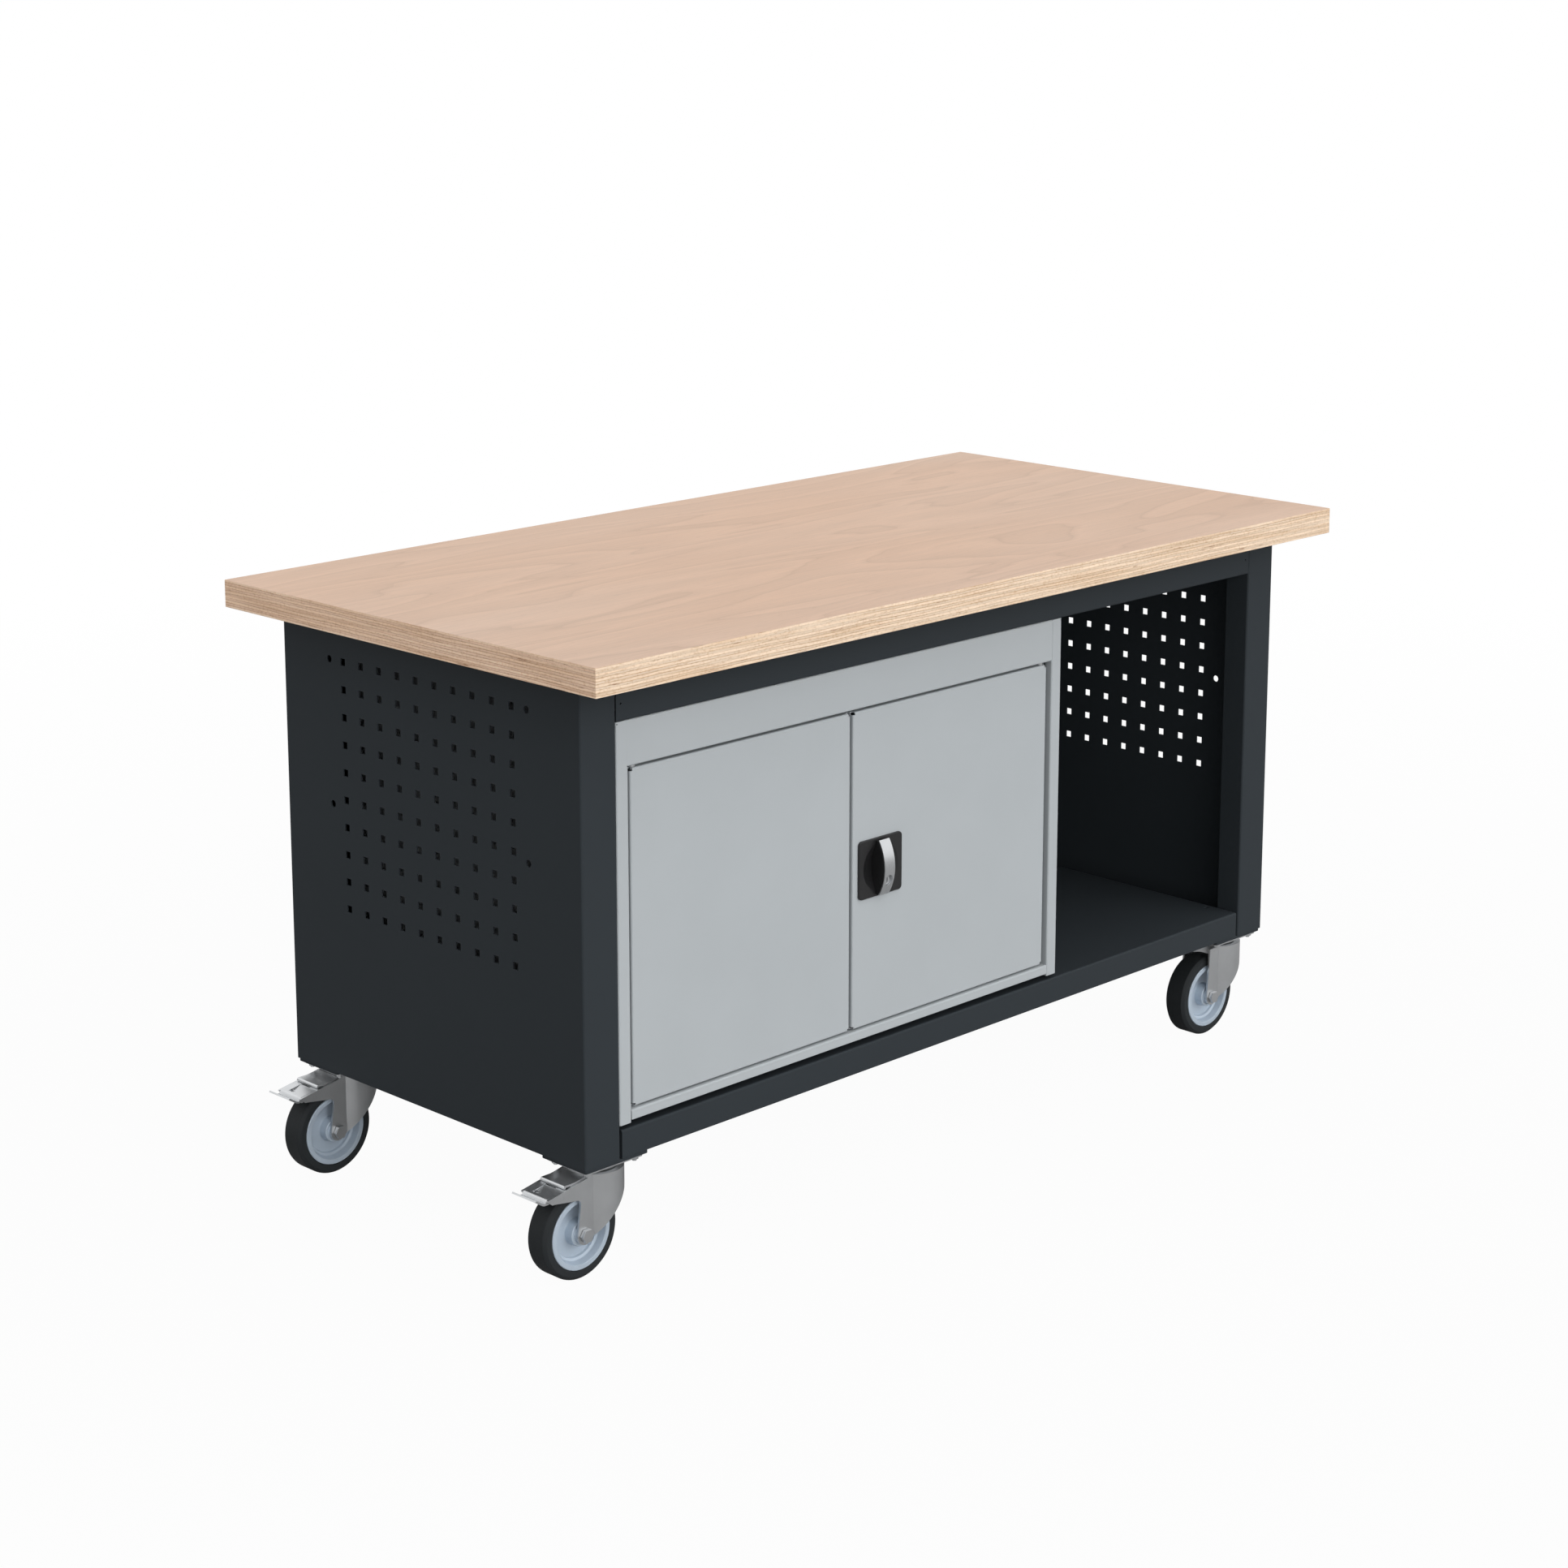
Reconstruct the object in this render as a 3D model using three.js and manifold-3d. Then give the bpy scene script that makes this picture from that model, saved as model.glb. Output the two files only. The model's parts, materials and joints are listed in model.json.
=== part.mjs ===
// Mobile workbench: plywood top, folded steel frame, two-door cabinet, open bay and four swivel casters.
// Millimetres. +X runs right along the front, +Y to the back, +Z up from the floor.
import * as THREE from 'three';
import { mergeVertices } from 'three/addons/utils/BufferGeometryUtils.js';
import Module from 'manifold-3d';

const wasm = await Module();
wasm.setup();

// Worktop
const topLength = 1500;
const topDepth = 750;
const topThickness = 38;
const topChamfer = 1;
const topOverhangX = 40;
const topOverhangY = 75;
const benchHeight = 830;

// Frame
const clearance = 0.3;
const frameBottom = 157;
const frameSheet = 2;
const frameBend = 3;
const postWidth = 60;
const postReturn = 40;
const panelFlange = 30;
const railHeight = 60;
const railFlange = 40;
const railSeam = 0.6;
const shelfRise = 38;
const shelfEndGap = 4;
const shelfSetback = 1;
const rearFlange = 20;

// Perforated field of each end panel
const squareHole = 10;
const holePitch = 38;
const holeColumns = 10;
const holeRows = 10;
const firstRowDrop = 50;
const hookHole = 10;
const hookHoleSpan = 400;
const hookHoleDrop = 200;

// Cabinet
const cabinetWidth = 860;
const cabinetRearSpace = 80;
const cabinetSetback = 1;
const cabinetSheet = 1.5;
const cabinetBend = 2.5;
const cabinetLift = 6.4;
const stileWidth = 20.5;
const stileReturn = 12;
const fasciaHeight = 60;
const fasciaReturn = 28;
const floorRise = 23;
const floorLip = 13;
const backFlange = 15;
const innerShelfRise = 245;
const innerShelfLip = 25;
const innerShelfSetback = 44;
const ledgeReach = 14;
const ledgeLength = 30;

// Doors and their pivot pins
const doorRecess = 4;
const doorDepth = 20;
const doorLip = 12;
const doorSideGap = 6.5;
const doorCentreGap = 5;
const doorTopGap = 4.5;
const doorBottomGap = 2;
const pinInset = 8;
const pinSetback = 7;
const pinDiameter = 6;
const pinCollar = 10;
const pinReach = 14;
const pinHead = 3;

// Lock with swing grip, rack-driven rods and key
const lockFromEdge = 52.5;
const plateWidth = 85;
const plateHeight = 82.5;
const plateThickness = 3.4;
const plateCorner = 6;
const bowlDiameter = 70;
const bowlDepth = 9;
const bowlWall = 1.5;
const gripLength = 76;
const gripWidth = 21;
const gripEnd = 4;
const gripRise = 11;
const gripSocket = 4;
const gripBowlGap = 1.8;
const stripWidth = 20;
const stripThickness = 1.5;
const keyDiameter = 14;
const keyDrop = 17;
const keyRecess = 3;
const keyLength = 9;
const keySlot = 1.4;
const spindleDiameter = 8;
const caseWidth = 66;
const caseHeight = 70;
const caseDepth = 16;
const pinionTeeth = 10;
const toothModule = 2;
const toothShare = 0.42;
const rodWidth = 6;
const rodThickness = 5;
const rodSetback = 2;
const rackTeeth = 6;
const rackOverrun = 6;
const rodHide = 4;
const strikeClearance = 2;
const guideHeight = 12;
const guideWall = 4;
const guideFromEnd = 60;

// Casters
const wheelDiameter = 125;
const tyreWidth = 36;
const tyreShoulder = 4;
const rimDiameter = 98;
const rimWidth = 37;
const rimFlange = 7;
const webThickness = 8;
const hubDiameter = 34;
const bossDiameter = 26;
const hubFlangeWidth = 38;
const axleDiameter = 10;
const axleHead = 17;
const axleHeadLength = 6;
const casterFromEnd = 56;
const casterFromFront = 44.5;
const casterTrail = 41;
const footPlateLength = 108;
const footPlateDepth = 85;
const footPlateThickness = 4.7;
const plateInset = 2;
const casterPlateLength = 98;
const casterPlateDepth = 79;
const casterPlateThickness = 3;
const boltSpanX = 80;
const boltSpanY = 62;
const nutAcross = 13;
const nutHeight = 4;
const raceDiameter = 62;
const crownThickness = 4;
const crownDrop = 11;
const kingpinDiameter = 12;
const kingpinHead = 22;
const kingpinHeadHeight = 6;
const forkSheet = 3;
const forkWidth = 52;
const forkRadius = 37.5;
const legBack = 7;
const legEnd = 13;
const skirtHeight = 18;

// Brake pedal on the two left casters, positions measured from the swivel axis
const wingTip = 104;
const wingTipHeight = 126;
const wingUnderTip = 94;
const wingUnderHeight = 118.4;
const wingRootHeight = 112;
const wingTopHeight = 137;
const pedalPinBack = 80;
const pedalPinHeight = 123.5;
const pedalPinDiameter = 6;
const pedalSheet = 2.5;
const pedalWidth = 51;
const pedalLipBack = 121;
const pedalLipHeight = 130;
const pedalBendBack = 111;
const pedalBendHeight = 125.5;
const pedalRootBack = 58;
const pedalRootHeight = 134.3;
const tabBack = 72;
const tabRise = 3.5;
const tabBendBack = 63;
const tabBendHeight = 137.2;
const tabEndBack = 36;
const tabEndHeight = 138.4;
const pedalCheek = 9;
const shoeWidth = 24;
const shoeHeight = 114;
const shoeBack = 90;
const windowLength = 25;
const windowWidth = 23;
const windowSide = 9;

// Facets
const bendFacets = 2;
const tyreFacets = 22;
const rimFacets = 14;
const pinFacets = 10;
const holeFacets = 8;
const arcFacets = 4;
const bowlFacets = 16;
const bowlRings = 3;

// Places that follow from the sizes
const frameLength = topLength - 2 * topOverhangX;
const frameDepth = topDepth - 2 * topOverhangY;
const frameTop = benchHeight - topThickness - clearance;
const panelX = frameLength / 2;
const postX = panelX - postWidth;
const frontY = -frameDepth / 2;
const shelfTop = frameBottom + shelfRise;
const railBottom = frameTop - railHeight;
const cabinetLeft = -postX + railSeam;
const cabinetRight = cabinetLeft + cabinetWidth;
const cabinetDepth = frameDepth - cabinetSetback - cabinetRearSpace;
const cabinetFront = frontY + cabinetSetback;
const cabinetBack = cabinetFront + cabinetDepth;
const cabinetTop = railBottom - clearance;
const cabinetBottom = shelfTop + cabinetLift;
const fasciaBottom = cabinetTop - fasciaHeight;
const floorTop = shelfTop + floorRise;
const openLeft = cabinetLeft + stileWidth;
const openRight = cabinetRight - stileWidth;
const sideInner = cabinetSheet + clearance;
const panelLeft = cabinetLeft + sideInner;
const panelRight = cabinetRight - sideInner;
const backInner = cabinetBack - sideInner;
const innerShelfTop = floorTop + innerShelfRise;
const doorFront = cabinetFront + doorRecess;
const doorBack = doorFront + doorDepth;
const doorBottom = floorTop + doorBottomGap;
const doorTop = fasciaBottom - doorTopGap;
const doorWidth = (openRight - openLeft - 2 * doorSideGap - doorCentreGap) / 2;
const pinY = doorFront + pinSetback;
const pinLeftX = openLeft + doorSideGap + pinInset;
const pinRightX = openRight - doorSideGap - pinInset;
const lockX = openRight - doorSideGap - doorWidth + lockFromEdge;
const lockZ = (doorBottom + doorTop) / 2;
const plateBack = doorFront - clearance;
const plateFront = plateBack - plateThickness;
const gripBack = plateFront - clearance;
const bowlRadius = (bowlDiameter ** 2 / 4 + bowlDepth ** 2) / (2 * bowlDepth);
const bowlCentreY = plateFront + bowlDepth - bowlRadius;
const bowlBack = plateFront + bowlDepth + bowlWall;
const pitchRadius = pinionTeeth * toothModule / 2;
const toothPitch = Math.PI * toothModule;
const toothAddendum = 0.8 * toothModule;
const toothDedendum = 1.1 * toothModule;
const rodInner = pitchRadius + toothDedendum;
const caseFront = doorFront + cabinetSheet + clearance;
const caseBack = caseFront + caseDepth;
const rodFront = bowlBack + rodSetback;
const rodBack = rodFront + rodThickness;
const wheelRadius = wheelDiameter / 2;
const casterX = panelX - casterFromEnd;
const casterY = -frontY - casterFromFront;
const footPlateTop = frameBottom - clearance;
const casterPlateTop = footPlateTop - footPlateThickness - clearance;
const casterPlateBottom = casterPlateTop - casterPlateThickness;
const crownTop = casterPlateTop - crownDrop;
const legInner = forkWidth / 2 - forkSheet;
const legStart = Math.sqrt(forkRadius ** 2 - forkWidth ** 2 / 4);
const footprintShift = (pedalLipBack + casterX - topLength / 2) / 2;

// Solid helpers
function solidOf(geometry) {
  geometry.deleteAttribute('normal');
  geometry.deleteAttribute('uv');
  const welded = mergeVertices(geometry, 1e-4);
  const points = welded.attributes.position.array;
  const triangles = [];
  const a = new THREE.Vector3();
  const b = new THREE.Vector3();
  const c = new THREE.Vector3();
  let volume = 0;
  for (let i = 0; i < welded.index.count; i += 3) {
    const corners = [0, 1, 2].map((k) => welded.index.getX(i + k));
    if (new Set(corners).size < 3) continue;
    triangles.push(corners);
    a.fromArray(points, 3 * corners[0]);
    b.fromArray(points, 3 * corners[1]);
    c.fromArray(points, 3 * corners[2]);
    volume += a.dot(b.cross(c));
  }
  if (volume < 0) triangles.forEach((corners) => corners.reverse());
  return new wasm.Manifold(new wasm.Mesh({
    numProp: 3,
    vertProperties: new Float32Array(points),
    triVerts: new Uint32Array(triangles.flat()),
  }));
}

function meshOf(name, solid, material) {
  const { vertProperties, triVerts } = solid.getMesh();
  const geometry = new THREE.BufferGeometry();
  geometry.setAttribute('position', new THREE.BufferAttribute(new Float32Array(vertProperties), 3));
  geometry.setIndex(new THREE.BufferAttribute(new Uint32Array(triVerts), 1));
  geometry.computeVertexNormals();
  const mesh = new THREE.Mesh(geometry, material);
  mesh.name = name;
  return mesh;
}

const unitX = new THREE.Vector3(1, 0, 0);
const unitY = new THREE.Vector3(0, 1, 0);
const unitZ = new THREE.Vector3(0, 0, 1);
const drawnOn = {
  x: new THREE.Matrix4().makeBasis(unitY, unitZ, unitX),
  y: new THREE.Matrix4().makeBasis(unitX, unitZ, unitY),
  z: new THREE.Matrix4(),
};

// A shape drawn in the two other axes, in X, Y, Z order, and pushed along the named axis.
function extrude(shape, axis, from, to, curveSegments = arcFacets) {
  const geometry = new THREE.ExtrudeGeometry(shape, { depth: to - from, bevelEnabled: false, curveSegments });
  geometry.translate(0, 0, from);
  return solidOf(geometry.applyMatrix4(drawnOn[axis]));
}

function block(x0, x1, y0, y1, z0, z1) {
  const geometry = new THREE.BoxGeometry(x1 - x0, y1 - y0, z1 - z0);
  return solidOf(geometry.translate((x0 + x1) / 2, (y0 + y1) / 2, (z0 + z1) / 2));
}

function polygon(points) {
  return new THREE.Shape(points.map(([u, v]) => new THREE.Vector2(u, v)));
}

function ring(u, v, radius, count, turn = 0) {
  const corners = Array.from({ length: count }, (_, k) => turn + 2 * Math.PI * k / count);
  return polygon(corners.map((t) => [u + radius * Math.cos(t), v + radius * Math.sin(t)]));
}

// A round hole that clears a pin of the given diameter, with its flats outside the pin.
function bore(u, v, diameter) {
  return ring(u, v, (diameter / 2 + clearance) / Math.cos(Math.PI / pinFacets), pinFacets);
}

function hexagon(u, v, across) {
  return ring(u, v, across / Math.sqrt(3), 6, Math.PI / 6);
}

function roundedRectangle(u0, u1, v0, v1, r) {
  const shape = new THREE.Shape();
  shape.moveTo(u0 + r, v0).lineTo(u1 - r, v0).absarc(u1 - r, v0 + r, r, -Math.PI / 2, 0, false);
  shape.lineTo(u1, v1 - r).absarc(u1 - r, v1 - r, r, 0, Math.PI / 2, false);
  shape.lineTo(u0 + r, v1).absarc(u0 + r, v1 - r, r, Math.PI / 2, Math.PI, false);
  shape.lineTo(u0, v0 + r).absarc(u0 + r, v0 + r, r, Math.PI, 1.5 * Math.PI, false);
  return shape;
}

// A profile of [radius, height] pairs turned about +Z.
function turned(profile, facets) {
  const points = profile.map(([r, h]) => new THREE.Vector2(r, h));
  return solidOf(new THREE.LatheGeometry(points, facets).rotateX(Math.PI / 2));
}

// A profile of [radius, offset] pairs turned about the Y axis, with a facet flat at the bottom.
function wheelTurned(profile, facets) {
  const points = profile.map(([r, y]) => new THREE.Vector2(r, y));
  return solidOf(new THREE.LatheGeometry(points, facets).rotateY(Math.PI / facets));
}

// Outline of a sheet folded along a path of outer-face corners, with the material on the path's left.
function foldedSheet(path, sheet, bend) {
  const corners = path.map(([u, v]) => new THREE.Vector2(u, v));
  const face = [];
  const back = [];
  const leftOf = (d) => new THREE.Vector2(-d.y, d.x);
  const push = (point, normal) => {
    face.push(point);
    back.push(point.clone().addScaledVector(normal, sheet));
  };
  const heading = corners.slice(1).map((corner, i) => corner.clone().sub(corners[i]).normalize());
  push(corners[0], leftOf(heading[0]));
  for (let i = 1; i < corners.length - 1; i += 1) {
    const turn = Math.atan2(heading[i - 1].cross(heading[i]), heading[i - 1].dot(heading[i]));
    const side = Math.sign(turn);
    const radius = side > 0 ? bend : bend - sheet;
    const start = corners[i].clone().addScaledVector(heading[i - 1], -radius * Math.tan(Math.abs(turn) / 2));
    const centre = start.clone().addScaledVector(leftOf(heading[i - 1]), side * radius);
    for (let k = 0; k <= bendFacets; k += 1) {
      const normal = leftOf(heading[i - 1]).rotateAround(new THREE.Vector2(), turn * k / bendFacets);
      push(centre.clone().addScaledVector(normal, -side * radius), normal);
    }
  }
  push(corners.at(-1), leftOf(heading.at(-1)));
  return new THREE.Shape([...face, ...back.reverse()]);
}

const join = (solids) => solids.reduce((whole, solid) => whole.add(solid));
const cut = (solid, tools) => tools.reduce((rest, tool) => rest.subtract(tool), solid);
const paint = (color, roughness, metalness) => new THREE.MeshStandardMaterial(
  { color, roughness, metalness });
const anthracite = () => paint(0x3a3e42, 0.6, 0.1);
const cabinetGrey = () => paint(0xaeb4b7, 0.55, 0.1);
const zinc = () => paint(0x9a9c9e, 0.35, 0.9);
const blackPlastic = () => paint(0x2b2c2d, 0.6, 0);
const steel = () => paint(0xb9bcc0, 0.3, 1);

// Mirrors a folded path in X for the right-hand piece, keeping its material on the left.
const handed = (path, side) => (side < 0 ? path : path.map(([x, y]) => [-x, y]).reverse());

// Frame pieces
function worktop() {
  const shape = polygon([[-1, -1], [1, -1], [1, 1], [-1, 1]].map(([u, v]) => [
    u * (topLength / 2 - topChamfer), v * (topDepth / 2 - topChamfer)]));
  const geometry = new THREE.ExtrudeGeometry(shape, {
    depth: topThickness - 2 * topChamfer,
    bevelThickness: topChamfer,
    bevelSize: topChamfer,
    bevelSegments: 1,
  });
  return solidOf(geometry.translate(0, 0, benchHeight - topThickness + topChamfer));
}

function endPanel(side) {
  const path = handed([
    [-postX, -frontY - postReturn], [-postX, -frontY], [-panelX, -frontY],
    [-panelX, frontY], [-postX, frontY], [-postX, frontY + postReturn]], side);
  const walls = extrude(foldedSheet(path, frameSheet, frameBend), 'z', frameBottom, frameTop);
  const webX = side * (panelX - frameSheet / 2);
  const flangeX = side * (panelX - panelFlange);
  const flangeY = -frontY - postReturn;
  const flanges = [frameBottom, frameTop - frameSheet].map((z) => block(
    Math.min(webX, flangeX), Math.max(webX, flangeX), -flangeY, flangeY, z, z + frameSheet));
  const from = Math.min(side * panelX, webX) - panelFlange;
  const to = from + 2 * panelFlange;
  const holes = [];
  for (let column = 0; column < holeColumns; column += 1) {
    const y = (column - (holeColumns - 1) / 2) * holePitch;
    for (let row = 0; row < holeRows; row += 1) {
      const z = frameTop - firstRowDrop - row * holePitch;
      const half = squareHole / 2;
      holes.push(block(from, to, y - half, y + half, z - half, z + half));
    }
  }
  for (const y of [-hookHoleSpan / 2, hookHoleSpan / 2]) {
    for (const drop of [0, hookHoleDrop]) {
      holes.push(extrude(ring(y, frameTop - firstRowDrop - drop, hookHole / 2, holeFacets), 'x', from, to));
    }
  }
  return cut(join([walls, ...flanges]), holes);
}

function topRail(front) {
  const y = front * frontY;
  const inner = front * (frontY + railFlange);
  const path = [[inner, railBottom], [y, railBottom], [y, frameTop], [inner, frameTop]];
  const shape = foldedSheet(front > 0 ? path.reverse() : path, frameSheet, frameBend);
  return extrude(shape, 'x', -postX + railSeam, postX - railSeam);
}

function bottomShelf() {
  const y = frontY + shelfSetback;
  const endX = postX - shelfEndGap;
  const lipBottom = frameBottom + clearance;
  const path = [[-y, lipBottom], [-y, shelfTop], [y, shelfTop], [y, lipBottom]];
  const tray = extrude(foldedSheet(path, frameSheet, frameBend), 'x', -endX, endX);
  const lipY = -y - frameBend;
  const endLip = (x) => block(x, x + frameSheet, -lipY, lipY, lipBottom, shelfTop - frameSheet / 2);
  return join([tray, endLip(-endX), endLip(endX - frameSheet)]);
}

function rearPanel() {
  const x = postX - railSeam;
  const y = -frontY - frameSheet;
  const path = [[x, y - rearFlange], [x, y], [-x, y], [-x, y - rearFlange]];
  const shape = foldedSheet(path, frameSheet, frameBend);
  return extrude(shape, 'z', shelfTop + clearance, railBottom - clearance);
}

// Cabinet pieces
function cabinetSide(side) {
  const outer = -cabinetLeft;
  const path = [[-outer, cabinetBack], [-outer, cabinetFront], [stileWidth - outer, cabinetFront],
    [stileWidth - outer, cabinetFront + stileReturn]];
  const shift = side < 0 ? 0 : cabinetRight + cabinetLeft;
  const placed = handed(path, side).map(([x, y]) => [x + shift, y]);
  const wall = extrude(foldedSheet(placed, cabinetSheet, cabinetBend), 'z', cabinetBottom, cabinetTop);
  const faceX = side < 0 ? cabinetLeft : cabinetRight;
  const reachX = faceX - side * ledgeReach;
  const ledgeTop = innerShelfTop - cabinetSheet - clearance;
  const starts = [doorBack + innerShelfSetback, backInner - 2 * ledgeLength];
  const ledges = starts.map((y) => block(Math.min(faceX, reachX) + cabinetSheet / 4,
    Math.max(faceX, reachX) - cabinetSheet / 4, y, y + ledgeLength, ledgeTop - cabinetSheet, ledgeTop));
  return join([wall, ...ledges]);
}

const rodSlot = (side, from, to, gap = clearance) => {
  const near = lockX + side * (rodInner - gap);
  const far = lockX + side * (rodInner + rodWidth + gap);
  return block(Math.min(near, far), Math.max(near, far), rodFront - gap, rodBack + gap, from, to);
};
const pinHole = (x, from, to) => extrude(bore(x, pinY, pinDiameter), 'z', from, to);

function cabinetRoof() {
  const path = [[backInner, cabinetTop], [cabinetFront, cabinetTop], [cabinetFront, fasciaBottom],
    [cabinetFront + fasciaReturn, fasciaBottom]];
  const fascia = extrude(foldedSheet(path, cabinetSheet, cabinetBend), 'x',
    openLeft + clearance, openRight - clearance);
  const sheetFront = cabinetFront + stileReturn + clearance;
  const sheet = block(panelLeft, panelRight, sheetFront, backInner, cabinetTop - cabinetSheet, cabinetTop);
  const low = fasciaBottom - cabinetSheet;
  const high = fasciaBottom + 2 * cabinetSheet;
  const strike = rodSlot(-1, low, high, strikeClearance);
  return cut(fascia.add(sheet), [pinHole(pinLeftX, low, high), pinHole(pinRightX, low, high), strike]);
}

function cabinetFloor() {
  const lip = extrude(foldedSheet(
    [[backInner, floorTop], [cabinetFront, floorTop], [cabinetFront, floorTop - floorLip]],
    cabinetSheet, cabinetBend), 'x', openLeft + clearance, openRight - clearance);
  const sheetFront = cabinetFront + stileReturn + clearance;
  const sheet = block(panelLeft, panelRight, sheetFront, backInner, floorTop - cabinetSheet, floorTop);
  const low = floorTop - 2 * cabinetSheet;
  const high = floorTop + cabinetSheet;
  const strike = rodSlot(1, low, high, strikeClearance);
  return cut(lip.add(sheet), [pinHole(pinLeftX, low, high), pinHole(pinRightX, low, high), strike]);
}

function cabinetBackPanel() {
  const path = [[panelRight, cabinetBack - backFlange], [panelRight, cabinetBack], [panelLeft, cabinetBack],
    [panelLeft, cabinetBack - backFlange]];
  const sheet = extrude(foldedSheet(path, cabinetSheet, cabinetBend), 'z', cabinetBottom, cabinetTop);
  const notch = clearance + cabinetSheet;
  const flangeNotch = (z) => block(panelLeft - 1, panelRight + 1, cabinetBack - 2 * backFlange,
    backInner + clearance, z - notch, z + clearance);
  return cut(sheet, [flangeNotch(cabinetTop), flangeNotch(floorTop)]);
}

function cabinetShelf() {
  const front = doorBack + innerShelfSetback / 2;
  const back = backInner - backFlange;
  const path = [[back, innerShelfTop], [front, innerShelfTop], [front, innerShelfTop - innerShelfLip]];
  const sheet = extrude(foldedSheet(path, cabinetSheet, cabinetBend), 'x', panelLeft, panelRight);
  return sheet;
}

// Pivot pin with a collar between cabinet and door; up is +1 for the lower pins.
function hingePin(up) {
  const sheetGap = up > 0 ? doorBottomGap : doorTopGap;
  const collarEnd = sheetGap - clearance;
  const underSheet = -cabinetSheet - clearance;
  const radius = pinDiameter / 2;
  const collar = pinCollar / 2;
  const profile = [[0, underSheet - pinHead], [collar, underSheet - pinHead], [collar, underSheet],
    [radius, underSheet], [radius, clearance], [collar, clearance], [collar, collarEnd],
    [radius, collarEnd], [radius, pinReach], [0, pinReach]];
  return turned(profile.map(([r, h]) => [r, up * h]), pinFacets);
}

// Doors
function door(side) {
  const hinged = side < 0 ? openLeft + doorSideGap : openRight - doorSideGap;
  const free = hinged - side * doorWidth;
  const [left, right] = side < 0 ? [hinged, free] : [free, hinged];
  const path = [[left + doorLip, doorBack], [left, doorBack], [left, doorFront], [right, doorFront],
    [right, doorBack], [right - doorLip, doorBack]];
  const shell = extrude(foldedSheet(path, cabinetSheet, cabinetBend), 'z', doorBottom, doorTop);
  const inset = cabinetSheet / 2;
  const flange = (z) => block(left + inset, right - inset, doorFront + inset, doorBack - inset,
    z, z + cabinetSheet);
  const pan = join([shell, flange(doorBottom), flange(doorTop - cabinetSheet)]);
  const x = side < 0 ? pinLeftX : pinRightX;
  const ends = [[doorBottom - 1, doorBottom + 2 * cabinetSheet], [doorTop - 2 * cabinetSheet, doorTop + 1]];
  const holes = ends.map(([from, to]) => pinHole(x, from, to));
  if (side < 0) return cut(pan, holes);
  const bowlReach = Math.sqrt((bowlRadius + bowlWall) ** 2 - (doorFront - bowlCentreY) ** 2) + clearance;
  const bowlHole = extrude(ring(lockX, lockZ, bowlReach / Math.cos(Math.PI / bowlFacets), bowlFacets), 'y',
    doorFront - 1, doorFront + 2 * cabinetSheet);
  return cut(pan, [...holes, bowlHole, rodSlot(1, ...ends[0]), rodSlot(-1, ...ends[1])]);
}

// Lock pieces, placed about the spindle axis
// Cap of a ball about the bowl's centre, from a flat front to its deepest point.
function bowlCap(radius, front) {
  const rimAngle = Math.acos((front - bowlCentreY) / radius);
  const profile = [[0, front]];
  for (let k = bowlRings; k >= 0; k -= 1) {
    const angle = rimAngle * k / bowlRings;
    profile.push([radius * Math.sin(angle), bowlCentreY + radius * Math.cos(angle)]);
  }
  return wheelTurned(profile, bowlFacets).translate([lockX, 0, lockZ]);
}

function lockPlate() {
  const plate = extrude(roundedRectangle(lockX - plateWidth / 2, lockX + plateWidth / 2,
    lockZ - plateHeight / 2, lockZ + plateHeight / 2, plateCorner), 'y', plateFront, plateBack, bendFacets);
  const cup = bowlCap(bowlRadius + bowlWall, plateFront + plateThickness / 2);
  const eye = extrude(bore(lockX, lockZ, spindleDiameter), 'y', plateFront, bowlBack + 1);
  return cut(plate.add(cup), [bowlCap(bowlRadius, plateFront - 1), eye]);
}

const bowRadius = (gripLength ** 2 / 4 + gripRise ** 2) / (2 * gripRise);
const bowCentreY = gripBack - gripEnd - gripRise + bowRadius;
const bowAngle = Math.asin(gripLength / 2 / bowRadius);
const keyZ = lockZ - keyDrop;
const keyFace = bowCentreY - Math.sqrt(bowRadius ** 2 - keyDrop ** 2) - stripThickness + keyRecess;

// Band of the bow between two radii, drawn in Y and Z.
function bowBand(inner, outer, angle) {
  const shape = new THREE.Shape();
  shape.absarc(bowCentreY, lockZ, outer, Math.PI - angle, Math.PI + angle, false);
  shape.absarc(bowCentreY, lockZ, inner, Math.PI + angle, Math.PI - angle, true);
  return shape;
}

function handleGrip() {
  const shape = new THREE.Shape();
  shape.moveTo(gripBack, lockZ + gripLength / 2).lineTo(gripBack - gripEnd, lockZ + gripLength / 2);
  shape.absarc(bowCentreY, lockZ, bowRadius, Math.PI - bowAngle, Math.PI + bowAngle, false);
  const backRadius = bowlRadius - gripBowlGap;
  const backAngle = Math.acos((gripBack - bowlCentreY) / backRadius);
  shape.lineTo(gripBack, lockZ - gripLength / 2);
  shape.absarc(bowlCentreY, lockZ, backRadius, -backAngle, backAngle, false);
  const bow = extrude(shape, 'x', lockX - gripWidth / 2, lockX + gripWidth / 2);
  const socket = extrude(bore(lockX, lockZ, spindleDiameter), 'y', gripBack - gripSocket, bowlBack);
  const keyBore = extrude(bore(lockX, keyZ, keyDiameter), 'y',
    bowCentreY - 2 * bowRadius, keyFace + keyLength + clearance);
  return cut(bow, [socket, keyBore]);
}

function handleStrip() {
  const inner = bowRadius + clearance;
  const band = extrude(bowBand(inner, inner + stripThickness, bowAngle), 'x',
    lockX - stripWidth / 2, lockX + stripWidth / 2);
  const keyBore = extrude(bore(lockX, keyZ, keyDiameter), 'y',
    bowCentreY - 2 * bowRadius, bowCentreY);
  return cut(band, [keyBore]);
}

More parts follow.
